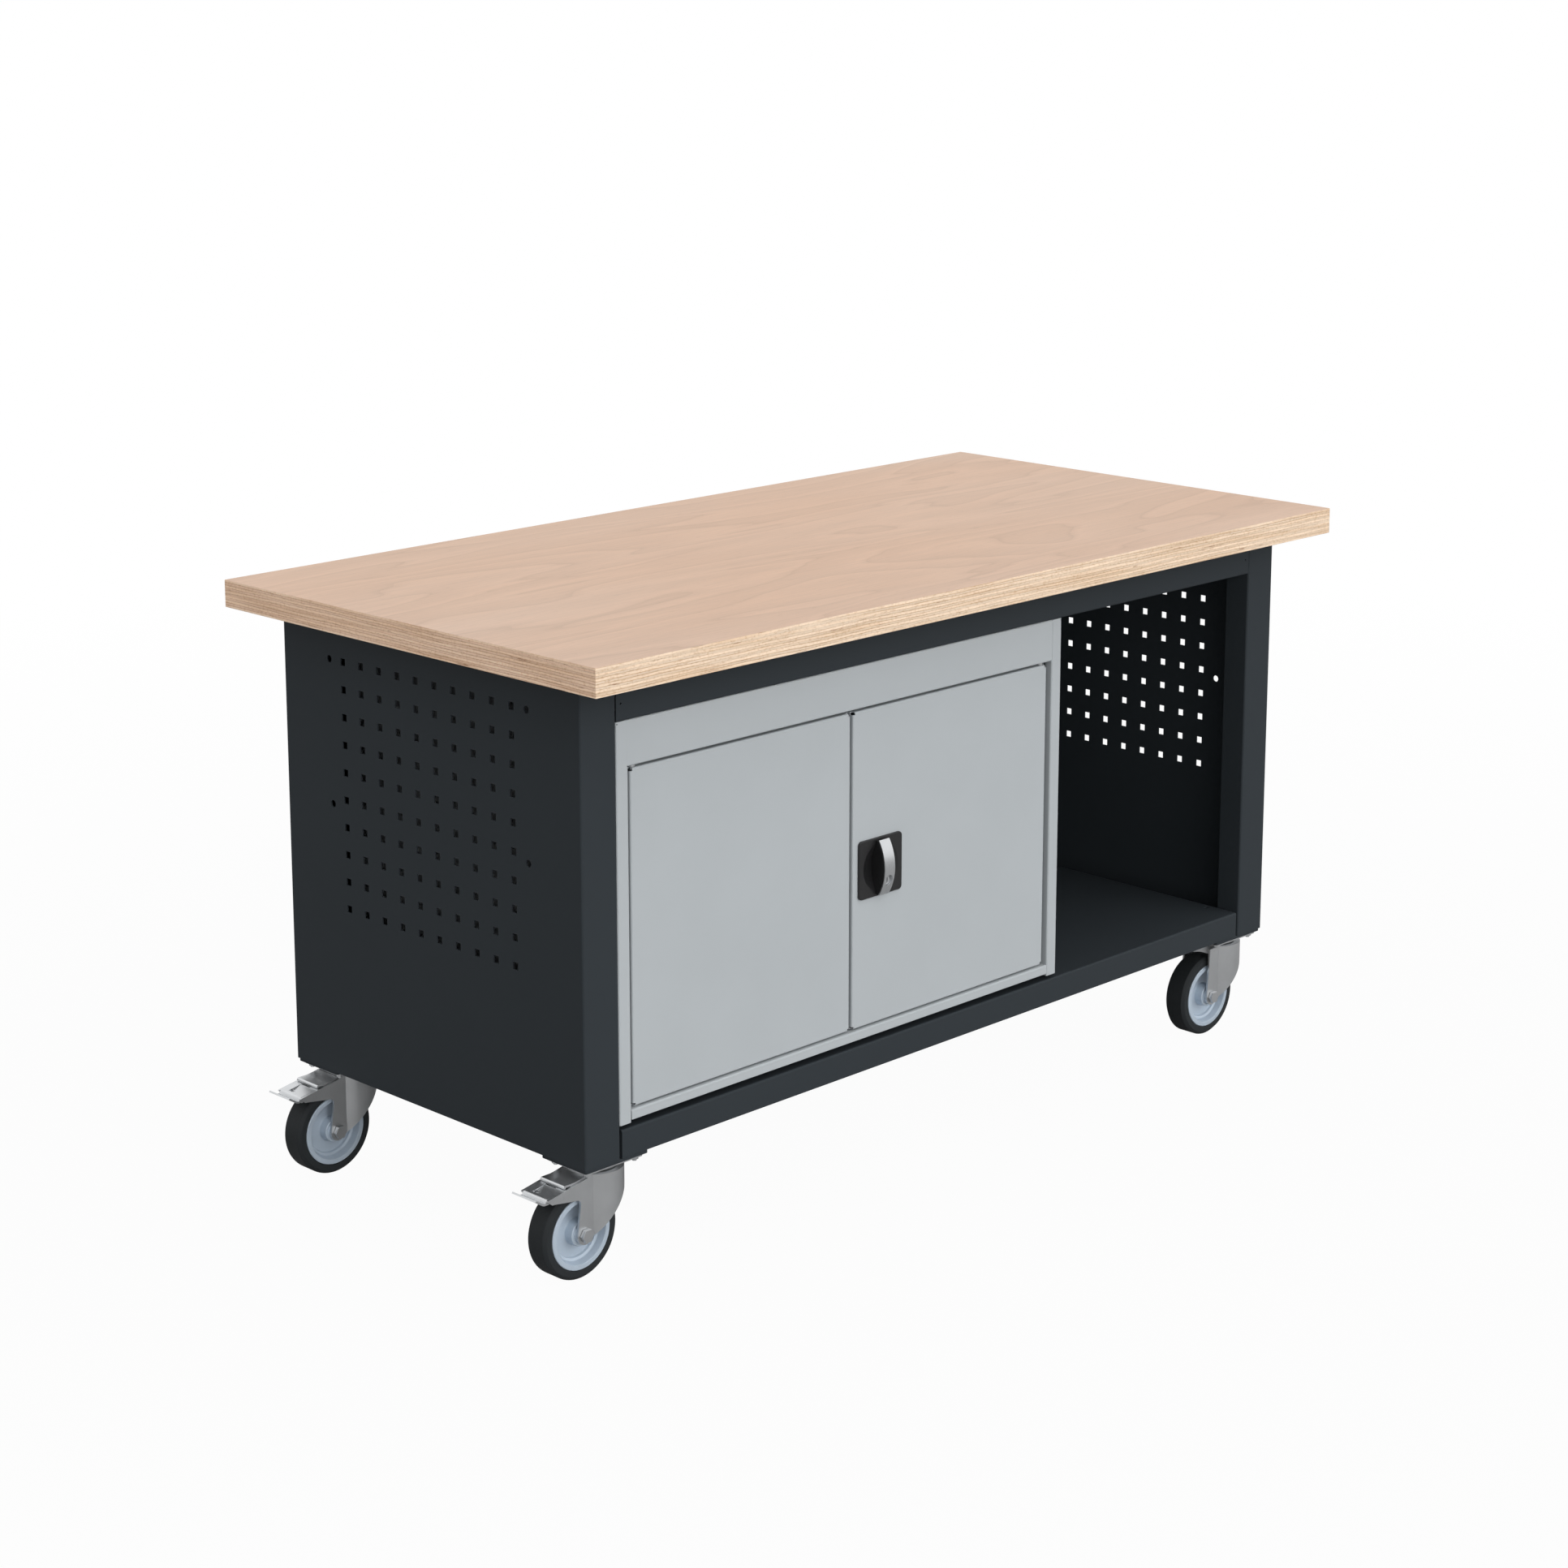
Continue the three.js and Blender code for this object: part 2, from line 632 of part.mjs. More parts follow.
function keyCylinder() {
  const barrel = extrude(ring(lockX, keyZ, keyDiameter / 2, pinFacets), 'y', keyFace, keyFace + keyLength);
  const slot = block(lockX - keySlot / 2, lockX + keySlot / 2, keyFace - 1, keyFace + keyLength / 3,
    keyZ - keyDiameter / 3, keyZ + keyDiameter / 3);
  return cut(barrel, [slot]);
}

const flankLean = Math.tan(Math.PI / 9);
const halfTooth = toothShare * toothPitch / 2;

function lockSpindle() {
  const outline = [];
  for (let tooth = 0; tooth < pinionTeeth; tooth += 1) {
    const middle = 2 * Math.PI * tooth / pinionTeeth;
    const flank = (radius, half) => [radius, half / pitchRadius];
    const steps = [flank(pitchRadius - toothDedendum, halfTooth + toothDedendum * flankLean),
      flank(pitchRadius + toothAddendum, halfTooth - toothAddendum * flankLean)];
    for (const [radius, half] of steps) outline.push([radius, middle - half]);
    for (const [radius, half] of steps.reverse()) outline.push([radius, middle + half]);
  }
  const pinion = extrude(polygon(outline.map(([r, t]) => [lockX + r * Math.cos(t), lockZ + r * Math.sin(t)])),
    'y', rodFront, rodBack);
  const shaft = extrude(ring(lockX, lockZ, spindleDiameter / 2, pinFacets), 'y',
    gripBack - gripSocket + clearance, caseBack);
  return pinion.add(shaft);
}

// Rod with a rack on the spindle's side; up is +1 for the upper rod.
function lockRod(up) {
  const side = -up;
  const tip = up > 0 ? doorTop - rodHide : doorBottom + rodHide;
  const rackStart = lockZ + up * (rackOverrun - rackTeeth * toothPitch + toothPitch);
  const near = lockX + side * rodInner;
  const far = lockX + side * (rodInner + rodWidth);
  const bar = block(Math.min(near, far), Math.max(near, far), rodFront, rodBack,
    Math.min(tip, rackStart), Math.max(tip, rackStart));
  const teeth = [];
  for (let tooth = 0; tooth < rackTeeth - 1; tooth += 1) {
    const z = lockZ + up * (toothPitch / 2 - tooth * toothPitch);
    const root = halfTooth + toothDedendum * flankLean;
    const crest = halfTooth - toothAddendum * flankLean;
    const base = near + side * rodWidth / 2;
    const tipX = lockX + side * (pitchRadius - toothAddendum);
    teeth.push(extrude(polygon([[base, z - root], [near, z - root], [tipX, z - crest], [tipX, z + crest],
      [near, z + root], [base, z + root]]), 'y', rodFront, rodBack));
  }
  return join([bar, ...teeth]);
}

function lockCase() {
  const [halfX, halfZ] = [caseWidth / 2, caseHeight / 2];
  const wall = cabinetSheet;
  const shell = block(lockX - halfX, lockX + halfX, caseFront, caseBack, lockZ - halfZ, lockZ + halfZ);
  const hollow = block(lockX - halfX + wall, lockX + halfX - wall, caseFront - 1, caseBack - wall,
    lockZ - halfZ + wall, lockZ + halfZ - wall);
  const journal = extrude(bore(lockX, lockZ, spindleDiameter), 'y',
    caseBack - 2 * wall, caseBack + 1);
  const slots = [rodSlot(-1, lockZ, lockZ + 2 * halfZ), rodSlot(1, lockZ - 2 * halfZ, lockZ)];
  return cut(shell, [hollow, journal, ...slots]);
}

function rodGuide(up) {
  const z = up > 0 ? doorTop - guideFromEnd : doorBottom + guideFromEnd;
  const middle = lockX - up * (rodInner + rodWidth / 2);
  const half = rodWidth / 2 + guideWall;
  const body = block(middle - half, middle + half, caseFront, rodBack + guideWall,
    z - guideHeight / 2, z + guideHeight / 2);
  return cut(body, [rodSlot(-up, z - guideHeight, z + guideHeight)]);
}

// Caster pieces, drawn about the swivel axis with the floor at zero
function footPlate(signX, signY) {
  const x0 = signX * (casterFromEnd - plateInset);
  const x1 = x0 - signX * footPlateLength;
  const y0 = signY * (casterFromFront - plateInset);
  const y1 = y0 - signY * footPlateDepth;
  const shape = roundedRectangle(Math.min(x0, x1), Math.max(x0, x1),
    Math.min(y0, y1), Math.max(y0, y1), frameBend);
  return extrude(shape, 'z', footPlateTop - footPlateThickness, footPlateTop, 1);
}

function casterPlate() {
  const plate = extrude(roundedRectangle(-casterPlateLength / 2, casterPlateLength / 2,
    -casterPlateDepth / 2, casterPlateDepth / 2, frameBend), 'z', casterPlateBottom, casterPlateTop, 1);
  const headTop = crownTop - crownThickness - clearance;
  const middle = casterPlateBottom + casterPlateThickness / 2;
  const race = turned([[0, headTop - kingpinHeadHeight], [kingpinHead / 2, headTop - kingpinHeadHeight],
    [kingpinHead / 2, headTop], [kingpinDiameter / 2, headTop], [kingpinDiameter / 2, crownTop + clearance],
    [raceDiameter / 2 - forkSheet, crownTop + clearance], [raceDiameter / 2, casterPlateBottom],
    [raceDiameter / 2, middle], [0, middle]], rimFacets);
  const nuts = [];
  for (const x of [-boltSpanX / 2, boltSpanX / 2]) {
    for (const y of [-boltSpanY / 2, boltSpanY / 2]) {
      nuts.push(extrude(hexagon(x, y, nutAcross), 'z', casterPlateBottom - nutHeight, middle));
    }
  }
  return join([plate, race, ...nuts]);
}

// Plan of the fork: two flat legs joined by a round skirt about the swivel axis.
function forkPlan(reach) {
  const half = forkWidth / 2;
  const skirtInner = forkRadius - forkSheet;
  const outerStart = Math.PI - Math.asin(half / forkRadius);
  const innerStart = Math.PI - Math.asin(legInner / skirtInner);
  const shape = new THREE.Shape();
  shape.moveTo(-reach, half).lineTo(forkRadius * Math.cos(outerStart), half);
  shape.absarc(0, 0, forkRadius, outerStart, -outerStart, true);
  shape.lineTo(-reach, -half).lineTo(-reach, -legInner);
  shape.absarc(0, 0, skirtInner, -innerStart, innerStart, false);
  shape.lineTo(-reach, legInner);
  return shape;
}

// Side view of the fork: leg, rounded end round the axle, rising edge of the skirt and, if braked, the wing.
function forkSideView(braked) {
  const skirtX = forkRadius + 1;
  const skirtZ = crownTop - skirtHeight;
  const riseX = skirtX + casterTrail;
  const riseZ = skirtZ - wheelRadius;
  const touch = Math.atan2(riseZ, riseX) - Math.acos(legEnd / Math.hypot(riseX, riseZ));
  const legX = -casterTrail - legBack;
  const shape = new THREE.Shape();
  if (braked) {
    shape.moveTo(-legStart, crownTop).lineTo(-casterTrail, wingTopHeight).lineTo(-wingTip, wingTipHeight);
    shape.lineTo(-wingUnderTip, wingUnderHeight).lineTo(legX, wingRootHeight);
  } else {
    shape.moveTo(legX, crownTop);
  }
  shape.lineTo(-casterTrail - legEnd, wheelRadius);
  shape.absarc(-casterTrail, wheelRadius, legEnd, Math.PI, 2 * Math.PI + touch, false);
  shape.lineTo(skirtX, skirtZ).lineTo(skirtX, crownTop);
  return shape;
}

function fork(braked) {
  const reach = braked ? wingTip : casterTrail + legEnd;
  const far = forkRadius + 1;
  const walls = extrude(forkPlan(reach), 'z', 0, crownTop);
  const side = extrude(forkSideView(braked), 'y', -far, far);
  const outline = new THREE.Shape();
  const start = Math.PI - Math.asin(forkWidth / 2 / forkRadius);
  outline.absarc(0, 0, forkRadius - forkSheet / 2, start, -start, true);
  const crown = extrude(outline, 'z', crownTop - crownThickness, crownTop);
  const holes = [extrude(bore(0, 0, kingpinDiameter), 'z', 0, crownTop + 1),
    extrude(bore(-casterTrail, wheelRadius, axleDiameter), 'y', -far, far)];
  if (braked) {
    holes.push(extrude(bore(-pedalPinBack, pedalPinHeight, pedalPinDiameter), 'y', -far, far));
  }
  return cut(walls.intersect(side).add(crown), holes);
}

// Axle with a hexagon head outside each fork leg.
function axleBolt() {
  const face = forkWidth / 2 + clearance;
  const reach = face + axleHeadLength / 2;
  const shank = extrude(ring(-casterTrail, wheelRadius, axleDiameter / 2, pinFacets), 'y', -reach, reach);
  const headShape = hexagon(-casterTrail, wheelRadius, axleHead);
  const heads = [-face - axleHeadLength, face].map((y) => extrude(headShape, 'y', y, y + axleHeadLength));
  return join([shank, ...heads]);
}

// Pin set flush in the two wings.
function pedalPin() {
  const shape = ring(-pedalPinBack, pedalPinHeight, pedalPinDiameter / 2, pinFacets);
  return extrude(shape, 'y', -forkWidth / 2, forkWidth / 2);
}

function rim() {
  const hub = legInner - clearance;
  const eye = (axleDiameter / 2 + clearance) / Math.cos(Math.PI / rimFacets);
  const outer = rimDiameter / 2 / Math.cos(Math.PI / rimFacets);
  const half = [[eye, hub], [bossDiameter / 2, hub], [bossDiameter / 2, hubFlangeWidth / 2],
    [hubDiameter / 2, hubFlangeWidth / 2], [hubDiameter / 2 + 2, webThickness / 2],
    [rimDiameter / 2 - rimFlange - 2, webThickness / 2], [rimDiameter / 2 - rimFlange, rimWidth / 2],
    [outer, rimWidth / 2]];
  const mirrored = half.map(([r, y]) => [r, -y]).reverse();
  return wheelTurned([...half, ...mirrored, half[0]], rimFacets).translate([-casterTrail, 0, wheelRadius]);
}

function tyre() {
  const flat = 1 / Math.cos(Math.PI / tyreFacets);
  const inner = (rimDiameter / 2 / Math.cos(Math.PI / rimFacets) + clearance) * flat;
  const outer = wheelRadius * flat;
  const half = tyreWidth / 2;
  const right = [[inner, half], [outer - tyreShoulder, half], [outer, half - tyreShoulder]];
  const left = right.map(([r, y]) => [r, -y]).reverse();
  return wheelTurned([...right, ...left, right[0]], tyreFacets).translate([-casterTrail, 0, wheelRadius]);
}

// Rocking brake pedal: tongue with turned-up lip, release tab, cheeks on the pin and a shoe above the tyre.
function brakePedal() {
  const inner = legInner - clearance;
  const top = (back) => pedalBendHeight + (pedalRootHeight - pedalBendHeight)
    * (pedalBendBack - back) / (pedalBendBack - pedalRootBack);
  const side = foldedSheet([[-pedalRootBack, pedalRootHeight], [-pedalBendBack, pedalBendHeight],
    [-pedalLipBack, pedalLipHeight]], pedalSheet, pedalSheet + 1);
  const plate = extrude(side, 'y', -pedalWidth / 2, pedalWidth / 2);
  const waist = -wingTip - 2 * clearance;
  const plan = join([
    block(waist - 1, -tabEndBack, -inner, inner, 0, casterPlateBottom),
    block(-pedalLipBack - pedalSheet, waist, -pedalWidth / 2, pedalWidth / 2, 0, casterPlateBottom)]);
  const window = extrude(polygon([[-pedalPinBack, windowSide], [-pedalPinBack - windowLength, windowSide],
    [-pedalPinBack, windowSide - windowWidth]]), 'z', 0, casterPlateBottom);
  const inside = pedalSheet / 2;
  const tab = extrude(polygon([[-tabBack, top(tabBack) - inside], [-tabBack, top(tabBack) + tabRise],
    [-tabBendBack, tabBendHeight], [-tabEndBack, tabEndHeight], [-tabEndBack, tabEndHeight - pedalSheet],
    [-pedalRootBack, pedalRootHeight - inside]]), 'y', -inner, inner);
  const back = pedalPinBack + pedalCheek;
  const front = pedalPinBack - pedalCheek;
  const cheekShape = new THREE.Shape();
  cheekShape.moveTo(-back, top(back) - inside).lineTo(-pedalPinBack - pedalPinDiameter, pedalPinHeight);
  cheekShape.absarc(-pedalPinBack, pedalPinHeight, pedalPinDiameter, Math.PI, 2 * Math.PI, false);
  cheekShape.lineTo(-front, top(front) - inside);
  const cheeks = [-inner, inner - pedalSheet].map((y) => extrude(cheekShape, 'y', y, y + pedalSheet));
  const shoe = block(-shoeBack - pedalSheet, -shoeBack, -shoeWidth / 2, shoeWidth / 2,
    shoeHeight, top(shoeBack) - inside);
  const pinBore = extrude(bore(-pedalPinBack, pedalPinHeight, pedalPinDiameter), 'y',
    -pedalWidth, pedalWidth);
  return cut(join([cut(plate.intersect(plan), [window]), tab, ...cheeks, shoe]), [pinBore]);
}

// Assembly, with the origin on the floor at the middle of the footprint
const bench = new THREE.Group();
bench.position.x = footprintShift;
const add = (name, solid, material, group = bench) => group.add(meshOf(name, solid, material));

add('worktop', worktop(), paint(0xd6b9a3, 0.55, 0));
add('left_end_panel', endPanel(-1), anthracite());
add('right_end_panel', endPanel(1), anthracite());
add('front_top_rail', topRail(1), anthracite());
add('rear_top_rail', topRail(-1), anthracite());
add('bottom_shelf', bottomShelf(), anthracite());
add('rear_panel', rearPanel(), anthracite());
add('cabinet_left_side', cabinetSide(-1), cabinetGrey());
add('cabinet_right_side', cabinetSide(1), cabinetGrey());
add('cabinet_roof', cabinetRoof(), cabinetGrey());
add('cabinet_floor', cabinetFloor(), cabinetGrey());
add('cabinet_back', cabinetBackPanel(), cabinetGrey());
add('cabinet_shelf', cabinetShelf(), cabinetGrey());
add('left_door', door(-1), cabinetGrey());
add('right_door', door(1), cabinetGrey());
for (const [side, x] of [['left', pinLeftX], ['right', pinRightX]]) {
  for (const [end, up, z] of [['lower', 1, floorTop], ['upper', -1, fasciaBottom]]) {
    const pin = meshOf(`${side}_door_${end}_pin`, hingePin(up), steel());
    pin.position.set(x, pinY, z);
    bench.add(pin);
  }
}
add('lock_plate', lockPlate(), blackPlastic());
add('handle_grip', handleGrip(), blackPlastic());
add('handle_strip', handleStrip(), steel());
add('key_cylinder', keyCylinder(), steel());
add('lock_spindle', lockSpindle(), steel());
add('lock_case', lockCase(), zinc());
for (const [end, up] of [['upper', 1], ['lower', -1]]) {
  add(`${end}_lock_rod`, lockRod(up), zinc());
  add(`${end}_rod_guide`, rodGuide(up), blackPlastic());
}
for (const [sideName, signX] of [['left', -1], ['right', 1]]) {
  for (const [endName, signY] of [['front', -1], ['rear', 1]]) {
    const place = `${endName}_${sideName}`;
    const caster = new THREE.Group();
    caster.position.set(signX * casterX, signY * casterY, 0);
    add(`${place}_foot_plate`, footPlate(signX, signY), anthracite(), caster);
    add(`${place}_caster_plate`, casterPlate(), zinc(), caster);
    add(`${place}_fork`, fork(signX < 0), zinc(), caster);
    add(`${place}_axle_bolt`, axleBolt(), zinc(), caster);
    add(`${place}_rim`, rim(), paint(0x96a3af, 0.5, 0), caster);
    add(`${place}_tyre`, tyre(), paint(0x232628, 0.8, 0), caster);
    if (signX < 0) {
      add(`${place}_pedal_pin`, pedalPin(), steel(), caster);
      add(`${place}_brake_pedal`, brakePedal(), zinc(), caster);
    }
    bench.add(caster);
  }
}

export default bench;
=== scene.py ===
import json
import math

import bmesh
import bpy
from bpy.props import FloatProperty, FloatVectorProperty, IntProperty, PointerProperty
from mathutils import Euler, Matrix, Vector


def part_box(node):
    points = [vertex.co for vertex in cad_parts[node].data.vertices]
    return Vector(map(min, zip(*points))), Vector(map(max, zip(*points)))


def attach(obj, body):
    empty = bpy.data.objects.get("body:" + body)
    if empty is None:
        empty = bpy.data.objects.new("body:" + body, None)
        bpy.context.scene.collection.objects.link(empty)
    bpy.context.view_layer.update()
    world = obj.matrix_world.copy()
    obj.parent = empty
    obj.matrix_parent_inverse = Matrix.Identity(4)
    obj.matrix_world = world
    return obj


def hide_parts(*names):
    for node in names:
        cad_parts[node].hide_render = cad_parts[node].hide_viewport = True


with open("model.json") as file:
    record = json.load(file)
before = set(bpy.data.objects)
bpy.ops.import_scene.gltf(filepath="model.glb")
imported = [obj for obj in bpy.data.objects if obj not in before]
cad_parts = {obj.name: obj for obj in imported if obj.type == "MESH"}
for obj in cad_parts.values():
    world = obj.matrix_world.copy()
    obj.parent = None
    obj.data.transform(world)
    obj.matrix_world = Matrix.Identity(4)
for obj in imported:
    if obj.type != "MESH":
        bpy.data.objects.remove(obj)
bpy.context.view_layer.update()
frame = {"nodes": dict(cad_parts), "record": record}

bl_info = {
    "name": "Mobile workbench",
    "version": (1, 0, 0),
    "blender": (4, 5, 0),
    "location": "3D View > Sidebar > Workbench",
    "description": "Dresses a mobile workbench with finished pieces and sets up a small studio",
    "category": "Object",
}

MM = 0.001
AXES = {"x": Vector((1, 0, 0)), "y": Vector((0, 1, 0)), "z": Vector((0, 0, 1))}
JOINTS = {joint["name"]: joint for joint in frame["record"]["behaviour"]["joints"]}
CASTERS = ("front_left", "rear_left", "front_right", "rear_right")
FORK_HALF = 26 * MM  # half the width of a fork over its legs
SMOOTH_ANGLE = math.radians(35)  # edges flatter than this are shaded smooth
TOUCH = 1e-6  # distance under which two places are one
THROUGH = 3 * MM  # how far a cutter reaches to each side of a level
HAIRLINE = 0.05 * MM  # seam between two sheets that lie flush
FLOOR_SIDE = 60
PALE_FLOOR = 0.965  # brightness of the floor by the bench, where white is 1
FADE_START, FADE_END = 1.2, 4.0  # distances between which the floor fades to white
MIRRORED_FLOOR = 0.06  # share of its brightness that the floor has in reflections
GLOW_FOCUS = 3.0  # how quickly the front light falls off to the sides
TOP_SPREAD = math.radians(70)
SENSOR_WIDTH = 36


def paint(red, green, blue):
    """A colour written as on a screen, from 0 to 255, in the linear values that shaders use."""
    def linear(value):
        share = value / 255
        return share / 12.92 if share <= 0.04045 else ((share + 0.055) / 1.055) ** 2.4
    return linear(red), linear(green), linear(blue)


def length(name, description, millimetres):
    return FloatProperty(name=name, description=description, default=millimetres * MM, min=0, unit="LENGTH")


def colour(name, description, red, green, blue):
    return FloatVectorProperty(
        name=name, description=description, default=paint(red, green, blue), min=0, max=1, subtype="COLOR")


class WorkbenchSizes(bpy.types.PropertyGroup):
    clearance: length("Clearance", "Gap between neighbouring pieces", 0.3)
    top_edge: length("Worktop edge", "Rounding of the worktop's edges", 0.9)
    frame_sheet: length("Frame sheet", "Thickness of the frame's sheet", 2)
    frame_bend: length("Frame bend", "Outer radius of the frame's bends", 3)
    post_return: length("Post return", "Depth of the fold behind each post", 40)
    rail_hole: length("Rail hole", "Diameter of the small holes in the rails", 2.6)
    rail_hole_inset: length("Rail hole inset", "Distance of a rail's hole from its end", 8)
    rail_hole_rise: length("Rail hole rise", "Height of a rail's hole over its lower edge", 23)
    panel_flange: length("Panel flange", "Depth of the end panels' top and bottom flanges", 30)
    square_hole: length("Square hole", "Side of a tool hole in the end panels", 10)
    hole_pitch: length("Hole pitch", "Distance from one tool hole to the next", 38)
    hole_count: IntProperty(
        name="Holes per side", description="Tool holes in a row and in a column", default=10,
        subtype="UNSIGNED")
    first_row: length("First row", "Drop from the frame's top to the first row of holes", 50)
    hook_span: length("Hook hole span", "Distance between the round holes across a panel", 400)
    hook_drop: length("Hook hole drop", "Distance between the round holes down a panel", 200)
    cabinet_sheet: length("Cabinet sheet", "Thickness of the cabinet's sheet", 1.5)
    cabinet_bend: length("Cabinet bend", "Outer radius of the cabinet's bends", 2.5)
    stile_return: length("Stile return", "Depth of the fold inside each stile", 12)
    fascia_return: length("Fascia return", "Depth of the fold under the fascia", 28)
    door_lip: length("Door lip", "Width of the fold behind each door edge", 12)
    relief: length("Relief notch", "Side of the notch where two bends meet", 3)
    pivot_bore: length("Pivot bore", "Bore in the sheets that a door pin passes through", 6.6)
    strike_gap: length("Strike gap", "Room round a lock rod in the cabinet's slots", 2)
    plate_corner: length("Plate corner", "Corner radius of the lock plate", 6)
    bowl_diameter: length("Bowl", "Diameter of the lock plate's bowl", 70)
    bowl_depth: length("Bowl depth", "Depth of the lock plate's bowl", 9)
    bowl_wall: length("Bowl wall", "Thickness of the lock plate's bowl", 1.5)
    strip: length("Strip", "Thickness of the strip on the grip", 1.5)
    grip_end: length("Grip end", "Thickness of the grip at its ends", 4)
    wheel_shoulder: length("Tyre shoulder", "Chamfer of the tyre's shoulders", 4)
    rim_diameter: length("Rim", "Outer diameter of the wheel centre", 98)
    rim_width: length("Rim width", "Width of the wheel centre over its outer rings", 37)
    fork_sheet: length("Fork sheet", "Thickness of the fork's sheet", 3)
    fork_radius: length("Fork skirt", "Radius of the fork's round skirt", 37.5)
    bolt_span_x: length("Bolt span along", "Distance between caster bolts along the bench", 80)
    bolt_span_y: length("Bolt span across", "Distance between caster bolts across the bench", 62)


class WorkbenchColours(bpy.types.PropertyGroup):
    anthracite: colour("Anthracite", "Powder coat of the frame", 48, 53, 57)
    grey: colour("Light grey", "Powder coat of the cabinet", 169, 174, 177)
    beech: colour("Beech face", "Middle tone of the worktop's face veneer", 205, 179, 160)
    ply: colour("Ply edge", "Middle tone of the worktop's layered edge", 218, 197, 175)
    # Painted light: the worktop's ends get a lighter, warmer copy of the ply edge's tone, which stands in for
    # the light that the ends lack in this studio.
    ply_end_painted_light: colour("Ply end", "Middle tone of the layered edge at the worktop's ends", 246, 213, 188)
    zinc: colour("Zinc", "Plated steel of the casters", 208, 210, 212)
    rim: colour("Rim", "Moulded wheel centre", 176, 189, 202)
    tyre: colour("Tyre", "Rubber of the tyres", 42, 45, 47)
    black: colour("Black plastic", "Lock plate and grip", 28, 28, 29)
    chrome: colour("Satin chrome", "Grip strip and key", 214, 216, 218)
    floor: colour("Floor", "Studio floor", 155, 155, 155)


class WorkbenchStage(bpy.types.PropertyGroup):
    camera_place: FloatVectorProperty(
        name="Camera place", description="Where the camera stands", default=(-3.2528, -3.1808, 1.7118),
        subtype="TRANSLATION")
    camera_yaw: FloatProperty(
        name="Camera yaw", description="Turn of the camera from the bench's depth towards its length",
        default=math.radians(45.306), subtype="ANGLE")
    camera_pitch: FloatProperty(
        name="Camera pitch", description="Tilt of the camera below the horizon",
        default=math.radians(11.907), subtype="ANGLE")
    ambient: FloatProperty(
        name="Ambient", description="Even light from all round", default=0.31, subtype="UNSIGNED")
    front_glow: FloatProperty(
        name="Front glow", description="Strength of the wide soft light in front", default=3.65,
        subtype="UNSIGNED")
    top_light: FloatProperty(
        name="Top light", description="Strength of the soft light overhead", default=1.5, subtype="UNSIGNED")
    lens: FloatProperty(
        name="Lens", description="Focal length in millimetres", default=74.16, subtype="DISTANCE_CAMERA")
    shift: FloatProperty(
        name="Shift", description="Upward shift of the frame, in image widths", default=-0.12,
        subtype="FACTOR")


def sizes():
    return bpy.context.scene.workbench_sizes


def colours():
    return bpy.context.scene.workbench_colours


def joint_spot(name):
    return Vector(JOINTS[name]["pos_m"])


# Modelling steps, each one as it is done by hand

def clear_selection():
    if bpy.context.object and bpy.context.object.mode != "OBJECT":
        bpy.ops.object.mode_set(mode="OBJECT")
    bpy.ops.object.select_all(action="DESELECT")


def choose(piece):
    clear_selection()
    piece.select_set(True)
    bpy.context.view_layer.objects.active = piece


def start_edit(piece):
    """Opens a piece in edit mode with nothing selected and returns its mesh."""
    choose(piece)
    bpy.ops.object.mode_set(mode="EDIT")
    bpy.ops.mesh.select_mode(type="VERT")
    bpy.ops.mesh.select_all(action="DESELECT")
    return bmesh.from_edit_mesh(piece.data)


def end_edit():
    bpy.ops.object.mode_set(mode="OBJECT")


def settle(piece, name):
    """Names a new piece and puts its place and scale into its mesh."""
    piece.name = name
    piece.data.name = name
    choose(piece)
    bpy.ops.object.transform_apply(location=True, rotation=True, scale=True)
    return piece


def cube(name, low, high):
    clear_selection()
    bpy.ops.mesh.primitive_cube_add(size=1)
    piece = bpy.context.object
    piece.location = (Vector(low) + Vector(high)) / 2
    piece.scale = Vector(high) - Vector(low)
    return settle(piece, name)


def rod(name, axis, middle, radius, low, high, sides=32):
    """A cylinder along an axis, from low to high on it; middle gives its other two coordinates."""
    clear_selection()
    turn = {"x": (0, math.pi / 2, 0), "y": (math.pi / 2, 0, 0), "z": (0, 0, 0)}[axis]
    bpy.ops.mesh.primitive_cylinder_add(vertices=sides, radius=radius, depth=high - low, rotation=turn)
    piece = bpy.context.object
    place = Vector(middle)
    place["xyz".index(axis)] = (low + high) / 2
    piece.location = place
    return settle(piece, name)


def on_axis(axis, u, v, level):
    """A point drawn in the two axes other than the named one, in X, Y, Z order, at a level on it."""
    flat = {"x": (level, u, v), "y": (u, level, v), "z": (u, v, level)}
    return Vector(flat[axis])


def polyline(name, points):
    """Draws a chain of edges by extruding one vertex along its points, and stays in edit mode."""
    clear_selection()
    bpy.ops.mesh.primitive_plane_add(size=1)
    piece = bpy.context.object
    piece.name = name
    piece.data.name = name
    mesh = start_edit(piece)
    for vertex in list(mesh.verts)[1:]:
        vertex.select = True
    bpy.ops.mesh.delete(type="VERT")
    bpy.ops.mesh.select_all(action="SELECT")
    corner = next(iter(bmesh.from_edit_mesh(piece.data).verts)).co
    bpy.ops.transform.translate(value=points[0] - corner)
    for here, there in zip(points, points[1:]):
        bpy.ops.mesh.extrude_region_move(TRANSFORM_OT_translate={"value": there - here})
    bpy.ops.mesh.select_all(action="SELECT")
    return piece


def tidy_normals():
    bpy.ops.mesh.select_all(action="SELECT")
    bpy.ops.mesh.normals_make_consistent(inside=False)


def slab(name, outline, axis, low, high):
    """Fills a closed outline and extrudes it along an axis."""
    piece = polyline(name, [on_axis(axis, u, v, low) for u, v in outline])
    bpy.ops.mesh.edge_face_add()
    bpy.ops.mesh.extrude_region_move(TRANSFORM_OT_translate={"value": on_axis(axis, 0, 0, high - low)})
    tidy_normals()
    end_edit()
    return piece


